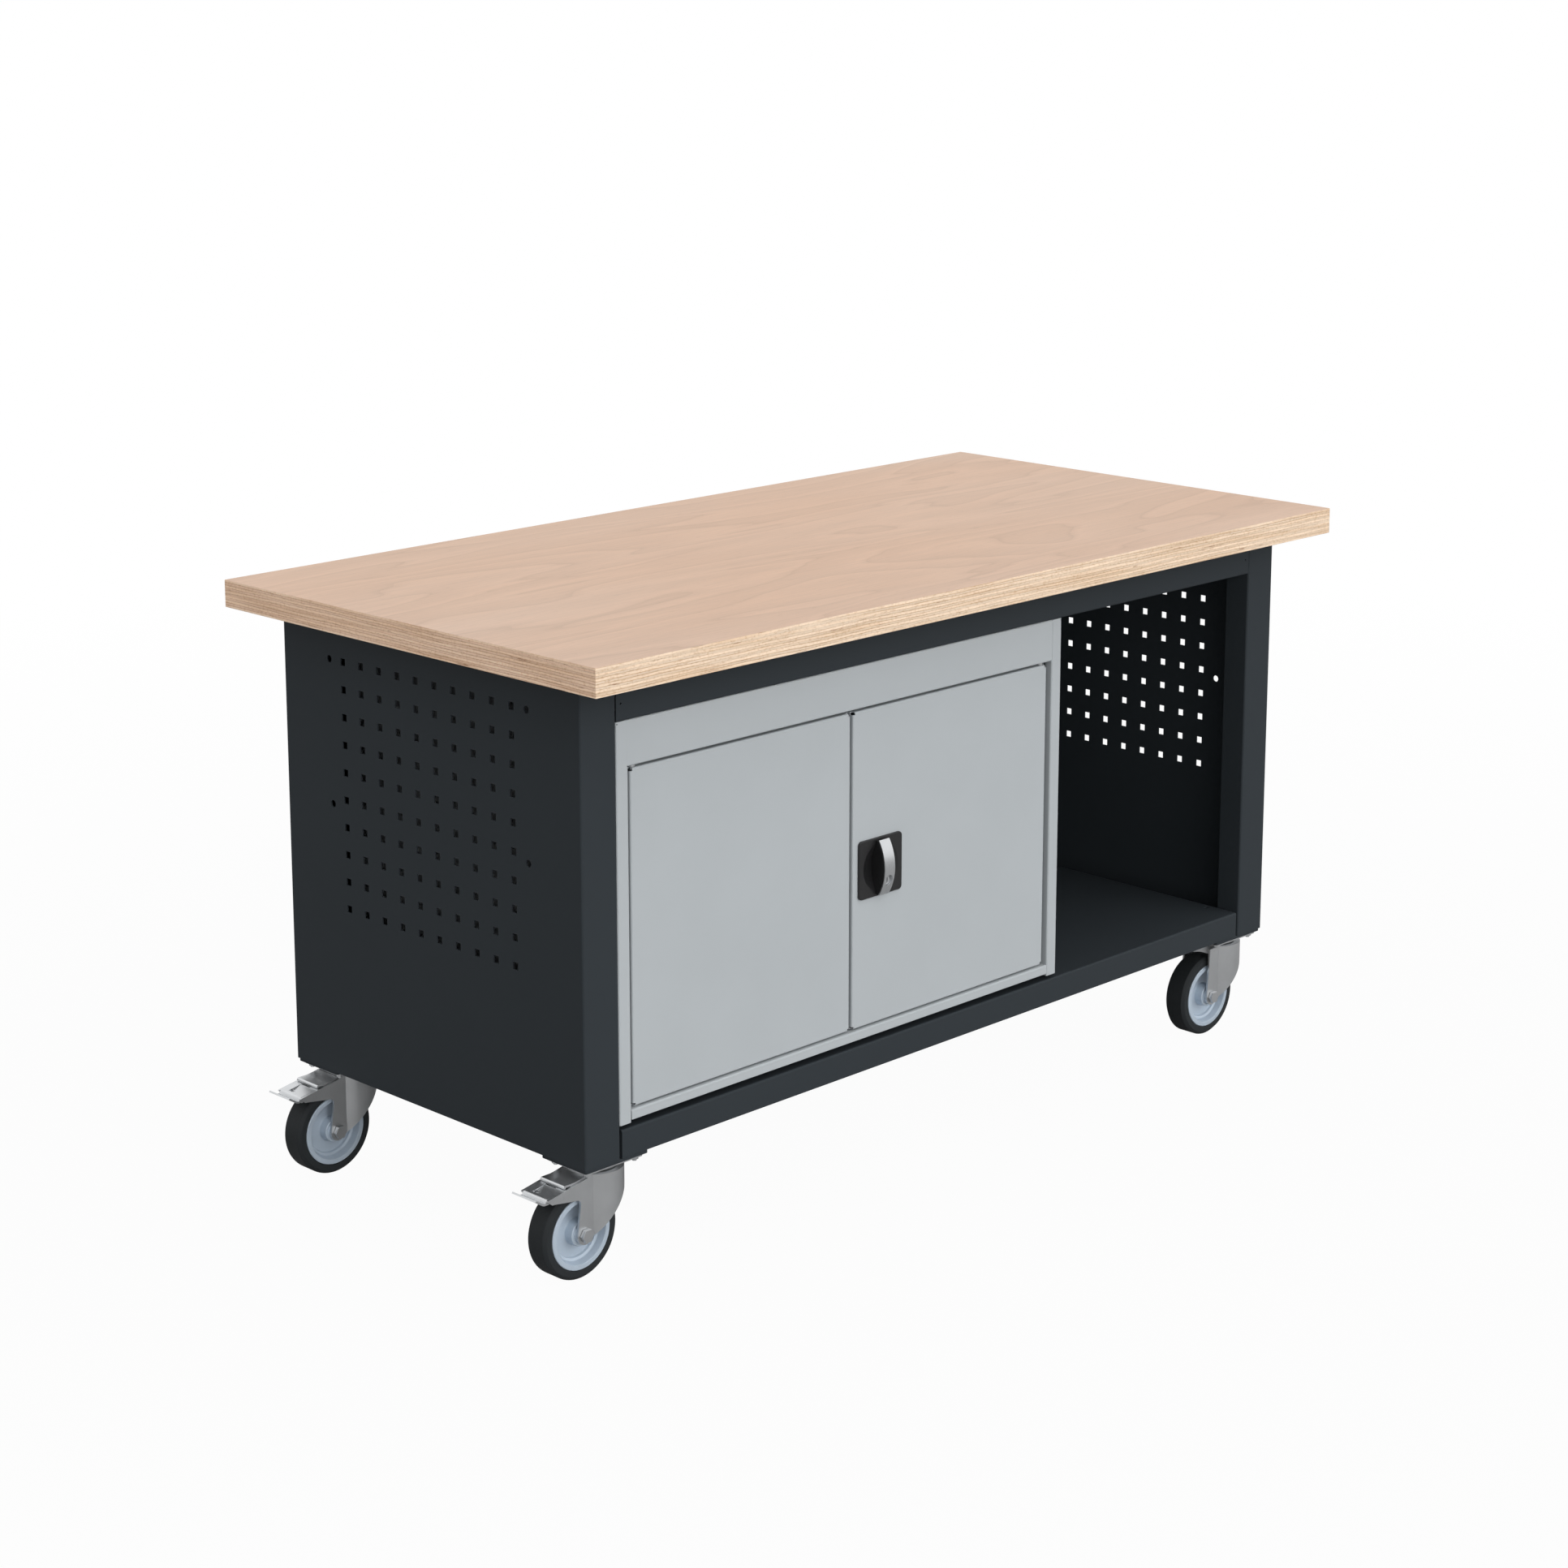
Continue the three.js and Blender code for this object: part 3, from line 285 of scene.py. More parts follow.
def spun(name, profile, axis, centre, steps):
    """Spins a profile of radius and height about an axis through a centre."""
    across = {"z": "x", "y": "x", "x": "z"}[axis]
    points = [Vector(centre) + AXES[across] * r + AXES[axis] * h for r, h in profile]
    piece = polyline(name, points)
    bpy.ops.mesh.spin(steps=steps, angle=2 * math.pi, center=Vector(centre), axis=AXES[axis])
    bpy.ops.mesh.select_all(action="SELECT")
    bpy.ops.mesh.remove_doubles(threshold=TOUCH)
    tidy_normals()
    end_edit()
    return piece


def modify(piece, kind, **settings):
    """Adds a modifier with its settings and applies it."""
    modifier = piece.modifiers.new(kind.lower(), kind)
    for key, value in settings.items():
        setattr(modifier, key, value)
    choose(piece)
    bpy.ops.object.modifier_apply(modifier=modifier.name)
    return piece


def thicken(piece, sheet):
    """Gives a surface the thickness of its sheet, inwards."""
    return modify(piece, "SOLIDIFY", thickness=sheet, offset=-1)


def folded(name, path, axis, low, high, sheet, bend, steps=5):
    """A sheet folded along a path of outer corners, with its material on the path's left."""
    piece = polyline(name, [on_axis(axis, u, v, low) for u, v in path])
    bpy.ops.mesh.extrude_region_move(TRANSFORM_OT_translate={"value": on_axis(axis, 0, 0, high - low)})
    tidy_normals()
    mesh = bmesh.from_edit_mesh(piece.data)
    first, second = (Vector(corner) for corner in path[:2])
    heading = (second - first).normalized()
    left = on_axis(axis, -heading.y, heading.x, 0)
    middle = on_axis(axis, *((first + second) / 2), (low + high) / 2)
    nearest = min(mesh.faces, key=lambda face: (face.calc_center_median() - middle).length)
    if nearest.normal.dot(left) > 0:
        bpy.ops.mesh.flip_normals()
    bpy.ops.mesh.select_all(action="DESELECT")
    corners = [on_axis(axis, u, v, (low + high) / 2) for u, v in path[1:-1]]
    for edge in mesh.edges:
        centre = (edge.verts[0].co + edge.verts[1].co) / 2
        if any((centre - corner).length < TOUCH for corner in corners):
            edge.select_set(True)
    if corners:
        bpy.ops.mesh.bevel(offset=bend, segments=steps, affect="EDGES")
    end_edit()
    return thicken(piece, sheet)


def combine(piece, tool, operation="DIFFERENCE"):
    """Cuts, joins or trims a piece with another one, which is used up."""
    modify(piece, "BOOLEAN", operation=operation, solver="EXACT", object=tool)
    bpy.data.objects.remove(tool)
    return piece


def weld(piece, *tools):
    for tool in tools:
        combine(piece, tool, "UNION")
    return piece


def carve(piece, *tools):
    for tool in tools:
        combine(piece, tool)
    return piece


def repeat(piece, step, count):
    return modify(piece, "ARRAY", use_relative_offset=False, use_constant_offset=True,
                  constant_offset_displace=step, count=count)


def soften(piece, width, steps=2, angle=40):
    """Rounds every edge sharper than an angle."""
    return modify(piece, "BEVEL", width=width, segments=steps, limit_method="ANGLE",
                  angle_limit=math.radians(angle))


def round_edges(piece, test, width, steps=4):
    """Bevels the edges whose two ends pass a test."""
    mesh = start_edit(piece)
    bpy.ops.mesh.select_mode(type="EDGE")
    for edge in mesh.edges:
        edge.select_set(test(edge.verts[0].co, edge.verts[1].co))
    bpy.ops.mesh.bevel(offset=width, segments=steps, affect="EDGES")
    end_edit()
    return piece


def dress(piece, material, body, slot, *nodes):
    """Smooths a finished piece, gives it its finish and sets it on its body in place of its plain solids."""
    choose(piece)
    bpy.ops.object.shade_smooth_by_angle(angle=SMOOTH_ANGLE)
    modify(piece, "WEIGHTED_NORMAL", keep_sharp=True)
    if material:
        piece.data.materials.clear()
        piece.data.materials.append(material)
    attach(piece, body)
    if nodes:
        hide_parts(*nodes)
    return piece


def copied(piece, name, offset):
    """A copy with its own mesh, moved by an offset that goes into the mesh."""
    choose(piece)
    bpy.ops.object.duplicate(linked=False)
    twin = bpy.context.object
    twin.location = offset
    return settle(twin, name)


def arc(u, v, radius, start, stop, steps):
    turns = (math.radians(start + (stop - start) * k / steps) for k in range(steps + 1))
    return [(u + radius * math.cos(t), v + radius * math.sin(t)) for t in turns]


def rounded_rectangle(u0, u1, v0, v1, radius, steps=6):
    corners = ((u1 - radius, v0 + radius, -90), (u1 - radius, v1 - radius, 0),
               (u0 + radius, v1 - radius, 90), (u0 + radius, v0 + radius, 180))
    return [point for u, v, turn in corners for point in arc(u, v, radius, turn, turn + 90, steps)]


# Finishes

def shade(tone, factor):
    return tuple(min(1.0, channel * factor) for channel in tone)


class Nodes:
    """Short ways to add and join the nodes of a tree."""

    def __init__(self, tree):
        self.tree = tree
        self.place = self.add("ShaderNodeTexCoord").outputs["Object"]

    def set(self, socket, value):
        """Joins a socket to another one, or gives it a value."""
        if isinstance(value, bpy.types.NodeSocket):
            self.tree.links.new(value, socket)
        elif socket.type == "RGBA":
            socket.default_value = (*value, 1)
        else:
            socket.default_value = value

    def add(self, kind, inputs=None, **settings):
        """A new node with its settings, and with some of its inputs set by name."""
        node = self.tree.nodes.new(kind)
        for key, value in settings.items():
            setattr(node, key, value)
        for name, value in (inputs or {}).items():
            self.set(node.inputs[name], value)
        return node

    def maths(self, operation, *values):
        node = self.add("ShaderNodeMath", operation=operation)
        for socket, value in zip(node.inputs, values):
            self.set(socket, value)
        return node.outputs["Value"]


class Finish(Nodes):
    """A node material round one shader."""

    def __init__(self, name):
        self.material = bpy.data.materials.new(name)
        self.material.use_nodes = True
        super().__init__(self.material.node_tree)
        self.shader = self.tree.nodes["Principled BSDF"]

    def put(self, name, value):
        self.set(self.shader.inputs[name], value)

    def noise(self, scale, stretch=None, detail=4.0, roughness=0.55, distortion=0.0):
        place = self.place
        if stretch:
            place = self.add("ShaderNodeMapping", {"Vector": place, "Scale": stretch}).outputs["Vector"]
        inputs = {"Vector": place, "Scale": scale, "Detail": detail, "Roughness": roughness,
                  "Distortion": distortion}
        return self.add("ShaderNodeTexNoise", inputs).outputs["Fac"]

    def ramp(self, source, *stops):
        """Colours or shades at places along a value from 0 to 1."""
        node = self.add("ShaderNodeValToRGB", {"Fac": source})
        ramp = node.color_ramp
        while len(ramp.elements) < len(stops):
            ramp.elements.new(0.5)
        for element, (place, tone) in zip(ramp.elements, stops):
            element.position = place
            element.color = (*tone, 1) if isinstance(tone, tuple) else (tone, tone, tone, 1)
        return node.outputs["Color"]

    def span(self, source, low, high, start=0.0, stop=1.0):
        inputs = {"Value": source, "From Min": start, "From Max": stop, "To Min": low, "To Max": high}
        return self.add("ShaderNodeMapRange", inputs).outputs["Result"]

    def blend(self, share, first, second, mode="MIX"):
        inputs = {"Factor": share, "A": first, "B": second}
        return self.add("ShaderNodeMix", inputs, data_type="RGBA", blend_type=mode).outputs["Result"]

    def over(self, tint, source, *stops, share=1.0):
        """A tint with the shades of a value laid over it."""
        return self.blend(share, tint, self.ramp(source, *stops), "MULTIPLY")

    def bump(self, height, strength, distance):
        node = self.add("ShaderNodeBump", {"Height": height, "Strength": strength, "Distance": distance})
        self.put("Normal", node.outputs["Normal"])

    def colour(self, cloud, tone, *stops):
        """A tone that clouds to lighter and darker shades of itself."""
        self.put("Base Color", self.ramp(cloud, *((place, shade(tone, factor)) for place, factor in stops)))

    def surface(self, grain, low, high, strength, distance):
        """A grain that changes the roughness and stands out of the surface."""
        self.put("Roughness", self.span(grain, low, high, 0.3, 0.7))
        self.bump(grain, strength, distance)


def powder_coat(name, tone, roughness):
    """Fine-grained powder coat with faint clouding and a pebbled surface."""
    look = Finish(name)
    look.colour(look.noise(7.0, detail=3.0), tone, (0.3, 0.985), (0.7, 1.015))
    look.surface(look.noise(1400.0, detail=2.0), roughness - 0.06, roughness + 0.06, 0.12, 0.00025)
    look.put("Specular IOR Level", 0.1)
    return look.material


def beech_face():
    """Rotary-cut beech veneer: long drifting figure, fine streaks and short dark flecks along X."""
    tone = tuple(colours().beech)
    look = Finish("beech_face")
    figure = look.noise(1.0, (1.1, 6.5, 1.0), detail=2.5, roughness=0.45, distortion=0.5)
    bands = look.maths("FRACT", look.maths("MULTIPLY", figure, 9.0))
    tint = look.ramp(bands, (0.0, shade(tone, 0.89)), (0.09, shade(tone, 0.96)), (0.5, shade(tone, 0.985)),
                     (0.88, shade(tone, 1.03)), (1.0, shade(tone, 0.96)))
    cloud = look.noise(1.7, (0.5, 1.6, 1.0), detail=2.0)
    streak = look.noise(30.0, (0.3, 9.0, 1.0), detail=4.0)
    fleck = look.noise(95.0, (0.5, 9.0, 1.0), detail=1.0)
    tint = look.over(tint, cloud, (0.3, (1.0, 0.955, 0.92)), (0.7, (1.0, 1.015, 1.03)))
    tint = look.over(tint, streak, (0.33, 0.945), (0.67, 1.04))
    look.put("Base Color", look.over(tint, fleck, (0.26, 0.82), (0.35, 1.0), share=0.8))
    look.put("Roughness", look.span(streak, 0.5, 0.62, 0.3, 0.7))
    look.put("Specular IOR Level", 0.08)
    look.bump(fleck, 0.08, 0.0004)
    return look.material


def beech_edge(name, bottom, thickness, tone, layers=11):
    """Layered ply edge: cream and tan layers, glue lines that come and go, speckles and short dark checks."""
    look = Finish(name)
    split = look.add("ShaderNodeSeparateXYZ", {"Vector": look.place})
    wander = look.span(look.noise(5.0, (1.0, 1.0, 9.0), detail=4.0), -1.0, 1.0)
    level = look.maths("MULTIPLY", look.maths("SUBTRACT", split.outputs["Z"], bottom), layers / thickness)
    level = look.maths("ADD", level, wander)
    pair = look.maths("FRACT", look.maths("MULTIPLY", level, 0.5))
    cream, tan = shade(tone, 1.13), shade(tone, 0.97)
    brown = (0.7 * tone[0], 0.57 * tone[1], 0.45 * tone[2])
    bold = look.ramp(pair, (0.0, brown), (0.1, cream), (0.43, cream), (0.53, brown), (0.62, tan), (0.9, tan),
                     (1.0, brown))
    faint = look.ramp(pair, (0.0, tan), (0.08, cream), (0.44, cream), (0.54, tan), (0.94, shade(tone, 1.04)),
                      (1.0, tan))
    share = look.ramp(look.noise(2.2, (1.0, 1.0, 34.0), detail=2.0), (0.4, 0.1), (0.58, 1.0))
    fibre = look.noise(60.0, (0.3, 0.3, 14.0), detail=5.0, roughness=0.65)
    speckle = look.noise(210.0, (1.0, 1.0, 1.6), detail=3.0, roughness=0.6)
    patch = look.noise(6.0, (1.0, 1.0, 22.0), detail=2.0)
    check = look.noise(24.0, (0.6, 0.6, 10.0), detail=6.0, roughness=0.7)
    tint = look.blend(share, faint, bold)
    tint = look.over(tint, fibre, (0.3, 0.86), (0.7, 1.08))
    tint = look.over(tint, speckle, (0.34, (0.89, 0.83, 0.76)), (0.47, 1.0), (0.68, (1.05, 1.05, 1.04)))
    tint = look.over(tint, patch, (0.35, (0.93, 0.88, 0.82)), (0.6, 1.04))
    tint = look.over(tint, check, (0.31, (0.45, 0.33, 0.25)), (0.38, 1.0))
    look.put("Base Color", tint)
    look.put("Roughness", 0.72)
    look.put("Specular IOR Level", 0.12)
    look.bump(look.maths("ADD", fibre, check), 0.35, 0.0006)
    return look.material


def plated(name, tone, roughness, streak=(1.0, 1.0, 1.0)):
    """Bright plated steel with faintly cloudy passivation and fine drawing marks."""
    look = Finish(name)
    look.colour(look.noise(26.0, detail=3.0, distortion=0.3), tone, (0.3, 0.95), (0.5, 1.0), (0.72, 1.04))
    look.surface(look.noise(420.0, streak, detail=3.0), roughness - 0.04, roughness + 0.05, 0.04, 0.0001)
    look.put("Metallic", 1.0)
    return look.material


def moulded(name, tone, roughness, gloss, grain=900.0, depth=0.0002, sheen=0.0):
    """Moulded plastic or rubber with a fine eroded grain and faint flow clouding."""
    look = Finish(name)
    look.colour(look.noise(24.0, detail=3.0), tone, (0.3, 0.93), (0.7, 1.06))
    look.surface(look.noise(grain, detail=2.0), roughness - 0.07, roughness + 0.07, 0.14, depth)
    look.put("Specular IOR Level", gloss)
    look.put("Metallic", sheen)
    return look.material


FINISHES = {}


def finish(name):
    """The named finish, made the first time it is asked for."""
    tones = colours()
    makers = {
        "anthracite": lambda: powder_coat("anthracite_powder_coat", tuple(tones.anthracite), 0.5),
        "grey": lambda: powder_coat("light_grey_powder_coat", tuple(tones.grey), 0.5),
        "zinc": lambda: plated("zinc_plate", tuple(tones.zinc), 0.34),
        "steel": lambda: plated("turned_steel", tuple(tones.chrome), 0.26, (1.0, 1.0, 9.0)),
        "chrome": lambda: plated("satin_chrome", tuple(tones.chrome), 0.3, (14.0, 1.0, 0.6)),
        "rim": lambda: moulded("wheel_centre_plastic", tuple(tones.rim), 0.36, 0.5, 45.0, 0.00002, 0.2),
        "tyre": lambda: moulded("tyre_rubber", tuple(tones.tyre), 0.55, 0.14, 600.0, 0.0003),
        "black": lambda: moulded("black_plastic", tuple(tones.black), 0.34, 0.5),
    }
    if name not in FINISHES:
        FINISHES[name] = makers[name]()
    return FINISHES[name]


# Worktop

class WORKBENCH_OT_worktop(bpy.types.Operator):
    """Model the plywood worktop"""
    bl_idname = "workbench.worktop"
    bl_label = "Worktop"

    def execute(self, context):
        low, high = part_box("worktop")
        piece = cube("beech_worktop", low, high)
        soften(piece, sizes().top_edge, 2)
        piece.data.materials.append(beech_face())
        thickness = high.z - low.z
        tones = colours()
        piece.data.materials.append(beech_edge("beech_ply_edge", low.z, thickness, tuple(tones.ply)))
        # Painted light: the ends' layered edge is a lighter copy of the same ply, which makes up for the dim
        # light on them.
        piece.data.materials.append(beech_edge("beech_ply_end", low.z, thickness, tuple(tones.ply_end_painted_light)))
        mesh = start_edit(piece)
        bpy.ops.mesh.select_mode(type="FACE")
        # Faces along Y take the ply edge. Faces along X take its lighter copy, which is painted light for the
        # dim ends.
        for index, axis in ((1, 1), (2, 0)):
            bpy.ops.mesh.select_all(action="DESELECT")
            for face in mesh.faces:
                face.select_set(abs(face.normal[axis]) > 0.7)
            piece.active_material_index = index
            bpy.ops.object.material_slot_assign()
        end_edit()
        dress(piece, None, "bench", "beech_ply", "worktop")
        return {"FINISHED"}


# Frame

def perforate(piece, low, high):
    """Cuts the grid of square tool holes and the round hook holes through an end panel."""
    size = sizes()
    half = size.square_hole / 2
    reach = (size.hole_count - 1) * size.hole_pitch
    top = high.z - size.first_row
    first = Vector((low.x - half, -reach / 2 - half, top - half))
    last = Vector((high.x + half, -reach / 2 + half, top + half))
    grid = cube("hole_grid", first, last)
    repeat(grid, (0, size.hole_pitch, 0), size.hole_count)
    repeat(grid, (0, 0, -size.hole_pitch), size.hole_count)
    hooks = rod("hook_holes", "x", (0, -size.hook_span / 2, top), half, low.x - half, high.x + half)
    repeat(hooks, (0, size.hook_span, 0), 2)
    repeat(hooks, (0, 0, -size.hook_drop), 2)
    return carve(piece, grid, hooks)


def end_panel(node, name, inward):
    """One folded end panel; inward is the sign of X towards the bench's middle."""
    size = sizes()
    low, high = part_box(node)
    outer, inner = (low.x, high.x) if inward > 0 else (high.x, low.x)
    path = [(inner, high.y - size.post_return), (inner, high.y), (outer, high.y), (outer, low.y),
            (inner, low.y), (inner, low.y + size.post_return)]
    if inward < 0:
        path.reverse()
    piece = folded(name, path, "z", low.z, high.z, size.frame_sheet, size.frame_bend)
    web = outer + inward * size.frame_sheet / 2
    flange = outer + inward * size.panel_flange
    for level in (low.z, high.z - size.frame_sheet):
        weld(piece, cube("flange", (min(web, flange), low.y + size.post_return, level),
                         (max(web, flange), high.y - size.post_return, level + size.frame_sheet)))
    start, stop = sorted((outer, web + inward * size.frame_sheet))
    perforate(piece, Vector((start, low.y, low.z)), Vector((stop, high.y, high.z)))
    return dress(piece, finish("anthracite"), "bench", "anthracite_paint", node)


def top_rail(node, name, front):
    size = sizes()
    low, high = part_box(node)
    face, back = (low.y, high.y) if front else (high.y, low.y)
    path = [(back, low.z), (face, low.z), (face, high.z), (back, high.z)]
    if front:
        path.reverse()
    piece = folded(name, path, "x", low.x, high.x, size.frame_sheet, size.frame_bend)
    for x in (low.x + size.rail_hole_inset, high.x - size.rail_hole_inset):
        carve(piece, rod("pin_hole", "y", (x, 0, low.z + size.rail_hole_rise), size.rail_hole / 2,
                         face - THROUGH, face + THROUGH, 16))
    return dress(piece, finish("anthracite"), "bench", "anthracite_paint", node)


def bottom_shelf():
    size = sizes()
    low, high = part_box("bottom_shelf")
    path = [(high.y, low.z), (high.y, high.z), (low.y, high.z), (low.y, low.z)]
    piece = folded("shelf_tray", path, "x", low.x, high.x, size.frame_sheet, size.frame_bend)
    inset = size.frame_bend
    for x in (low.x, high.x - size.frame_sheet):
        weld(piece, cube("end_lip", (x, low.y + inset, low.z),
                         (x + size.frame_sheet, high.y - inset, high.z - size.frame_sheet / 2)))
    half_slot = Vector((5 * MM, 2 * MM, 4 * MM))
    from_end, from_front = 12 * MM, 49 * MM
    for x in (low.x + from_end, high.x - from_end):
        for y in (low.y + from_front, high.y - from_front):
            spot = Vector((x, y, high.z))
            carve(piece, cube("slot", spot - half_slot, spot + half_slot))
    return dress(piece, finish("anthracite"), "bench", "anthracite_paint", "bottom_shelf")


def rear_panel():
    size = sizes()
    low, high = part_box("rear_panel")
    # The panel is a little wider than its solid, so that no light shines through its seams
    growth = Vector((0.55 * MM, 0, 0.27 * MM))
    low, high = low - growth, high + growth
    path = [(high.x, low.y), (high.x, high.y), (low.x, high.y), (low.x, low.y)]
    piece = folded("back_sheet", path, "z", low.z, high.z, size.frame_sheet, size.frame_bend)
    return dress(piece, finish("anthracite"), "bench", "anthracite_paint", "rear_panel")


class WORKBENCH_OT_frame(bpy.types.Operator):
    """Model the folded steel frame: end panels, rails, shelf and back"""
    bl_idname = "workbench.frame"
    bl_label = "Frame"

    def execute(self, context):
        end_panel("left_end_panel", "left_end_sheet", 1)
        end_panel("right_end_panel", "right_end_sheet", -1)
        top_rail("front_top_rail", "front_rail", True)
        top_rail("rear_top_rail", "rear_rail", False)
        bottom_shelf()
        rear_panel()
        return {"FINISHED"}


# Cabinet

def cabinet_side(node, name, inward):
    size = sizes()
    low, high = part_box(node)
    outer, inner = (low.x, high.x) if inward > 0 else (high.x, low.x)
    path = [(outer, high.y), (outer, low.y), (inner, low.y), (inner, low.y + size.stile_return)]
    if inward < 0:
        path.reverse()
    piece = folded(name, path, "z", low.z, high.z, size.cabinet_sheet, size.cabinet_bend)
    corner = Vector((outer + inward * 2.2 * MM, 0, high.z - 2.8 * MM))
    carve(piece, rod("relief", "y", corner, MM, low.y - 2 * MM, low.y + 4 * MM, 16))
    if inward > 0:  # the fascia runs on over the left stile
        carve(piece, cube("fascia_seat", (inner - size.cabinet_bend, low.y - MM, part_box("cabinet_roof")[0].z),
                          (inner + MM, low.y + size.stile_return + MM, high.z + MM)))
    return dress(piece, finish("grey"), "bench", "grey_paint", node)


def pivot_bores(piece, nodes, level):
    """Bores a sheet for the door pins that pass through it."""
    for node in nodes:
        low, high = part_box(node)
        carve(piece, rod("pivot_bore", "z", (low + high) / 2, sizes().pivot_bore / 2,
                         level - THROUGH, level + THROUGH))


def rod_slot(piece, node, level, gap):
    """Cuts the slot that a lock rod is thrown through."""
    low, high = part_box(node)
    carve(piece, cube("rod_slot", (low.x - gap, low.y - gap, level - THROUGH),
                      (high.x + gap, high.y + gap, level + THROUGH)))


def stile_edges():
    """Where the sheets between the two stiles start and end."""
    gap = sizes().clearance
    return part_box("cabinet_left_side")[1].x + gap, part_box("cabinet_right_side")[0].x - gap


def cross_sheet(node, name, path, start, stop, end, level):
    """A folded sheet between the stiles and a plate behind it, open for the pins and a lock rod."""
    size = sizes()
    low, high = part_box(node)
    piece = folded(name, path, "x", start, stop, size.cabinet_sheet, size.cabinet_bend)
    front = low.y + size.stile_return + size.cabinet_sheet
    weld(piece, cube("plate", (low.x, front, high.z - size.cabinet_sheet), (high.x, high.y, high.z)))
    pivot_bores(piece, (f"left_door_{end}_pin", f"right_door_{end}_pin"), level)
    rod_slot(piece, f"{end}_lock_rod", level, size.strike_gap)
    return dress(piece, finish("grey"), "bench", "grey_paint", node)


def cabinet_roof():
    size = sizes()
    low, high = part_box("cabinet_roof")
    left, right = stile_edges()
    path = [(high.y, high.z), (low.y, high.z), (low.y, low.z), (low.y + size.fascia_return, low.z)]
    seat = left - size.clearance + HAIRLINE - size.cabinet_bend
    return cross_sheet("cabinet_roof", "fascia_roof", path, seat, right, "upper", low.z)


def cabinet_floor():
    low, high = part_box("cabinet_floor")
    path = [(high.y, high.z), (low.y, high.z), (low.y, low.z)]
    return cross_sheet("cabinet_floor", "floor_sheet", path, *stile_edges(), "lower", high.z)


class WORKBENCH_OT_cabinet(bpy.types.Operator):
    """Model the cabinet's sides, roof with fascia and floor"""
    bl_idname = "workbench.cabinet"
    bl_label = "Cabinet"

    def execute(self, context):
        cabinet_side("cabinet_left_side", "left_side_sheet", 1)
        cabinet_side("cabinet_right_side", "right_side_sheet", -1)
        cabinet_roof()
        cabinet_floor()
        return {"FINISHED"}


# Doors

def door_pan(node, name):
    """A door folded from one sheet: rounded front bends, flanges and lips, with notches where bends meet."""
    size = sizes()
    low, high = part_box(node)
    piece = cube(name, low, high)
    mesh = start_edit(piece)
    bpy.ops.mesh.select_mode(type="FACE")
    for face in mesh.faces:
        face.select_set(face.normal.y > 0.5)
    bpy.ops.mesh.delete(type="ONLY_FACE")
    bpy.ops.mesh.select_mode(type="EDGE")
    for side, edge_x in ((1, low.x), (-1, high.x)):
        mesh = bmesh.from_edit_mesh(piece.data)
        bpy.ops.mesh.select_all(action="DESELECT")
        for edge in mesh.edges:
            ends = [vertex.co for vertex in edge.verts]
            edge.select_set(all(abs(co.x - edge_x) < TOUCH and abs(co.y - high.y) < TOUCH for co in ends))
        bpy.ops.mesh.extrude_region_move(TRANSFORM_OT_translate={"value": (side * size.door_lip, 0, 0)})
    end_edit()

    def folds(first, second):
        front = abs(first.y - low.y) < TOUCH and abs(second.y - low.y) < TOUCH
        upright = all(abs(co.y - high.y) < TOUCH and min(abs(co.x - low.x), abs(co.x - high.x)) < TOUCH
                      for co in (first, second)) and abs(first.z - second.z) > MM
        return front or upright

    round_edges(piece, folds, size.cabinet_bend, 4)
    thicken(piece, size.cabinet_sheet)
    notch = size.relief
    for x in (low.x, high.x - notch):
        for z in (low.z, high.z - notch):
            carve(piece, cube("notch", (x - MM, low.y - MM, z - MM),
                              (x + notch + MM, low.y + 2 * notch, z + notch + MM)))
    pivot_bores(piece, [node + "_lower_pin"], low.z)
    pivot_bores(piece, [node + "_upper_pin"], high.z)
    return piece


class WORKBENCH_OT_doors(bpy.types.Operator):
    """Model the two cabinet doors"""
    bl_idname = "workbench.doors"
    bl_label = "Doors"

    def execute(self, context):
        dress(door_pan("left_door", "left_door_pan"), finish("grey"), "left_door", "grey_paint", "left_door")
        piece = door_pan("right_door", "right_door_pan")
        low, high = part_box("right_door")
        bowl_hole = 0.45 * sizes().bowl_diameter
        carve(piece, rod("bowl_hole", "y", lock_centre(), bowl_hole, low.y - MM, low.y + 4 * MM, 64))
        rod_slot(piece, "lower_lock_rod", low.z, sizes().clearance)
        rod_slot(piece, "upper_lock_rod", high.z, sizes().clearance)
        dress(piece, finish("grey"), "right_door", "grey_paint", "right_door")
        return {"FINISHED"}


# Lock

def lock_centre():
    return joint_spot("handle_turn")


def bowl_radius():
    """Radius of the ball that the bowl is a cap of."""
    half = sizes().bowl_diameter / 2
    depth = sizes().bowl_depth
    return (half ** 2 + depth ** 2) / (2 * depth)


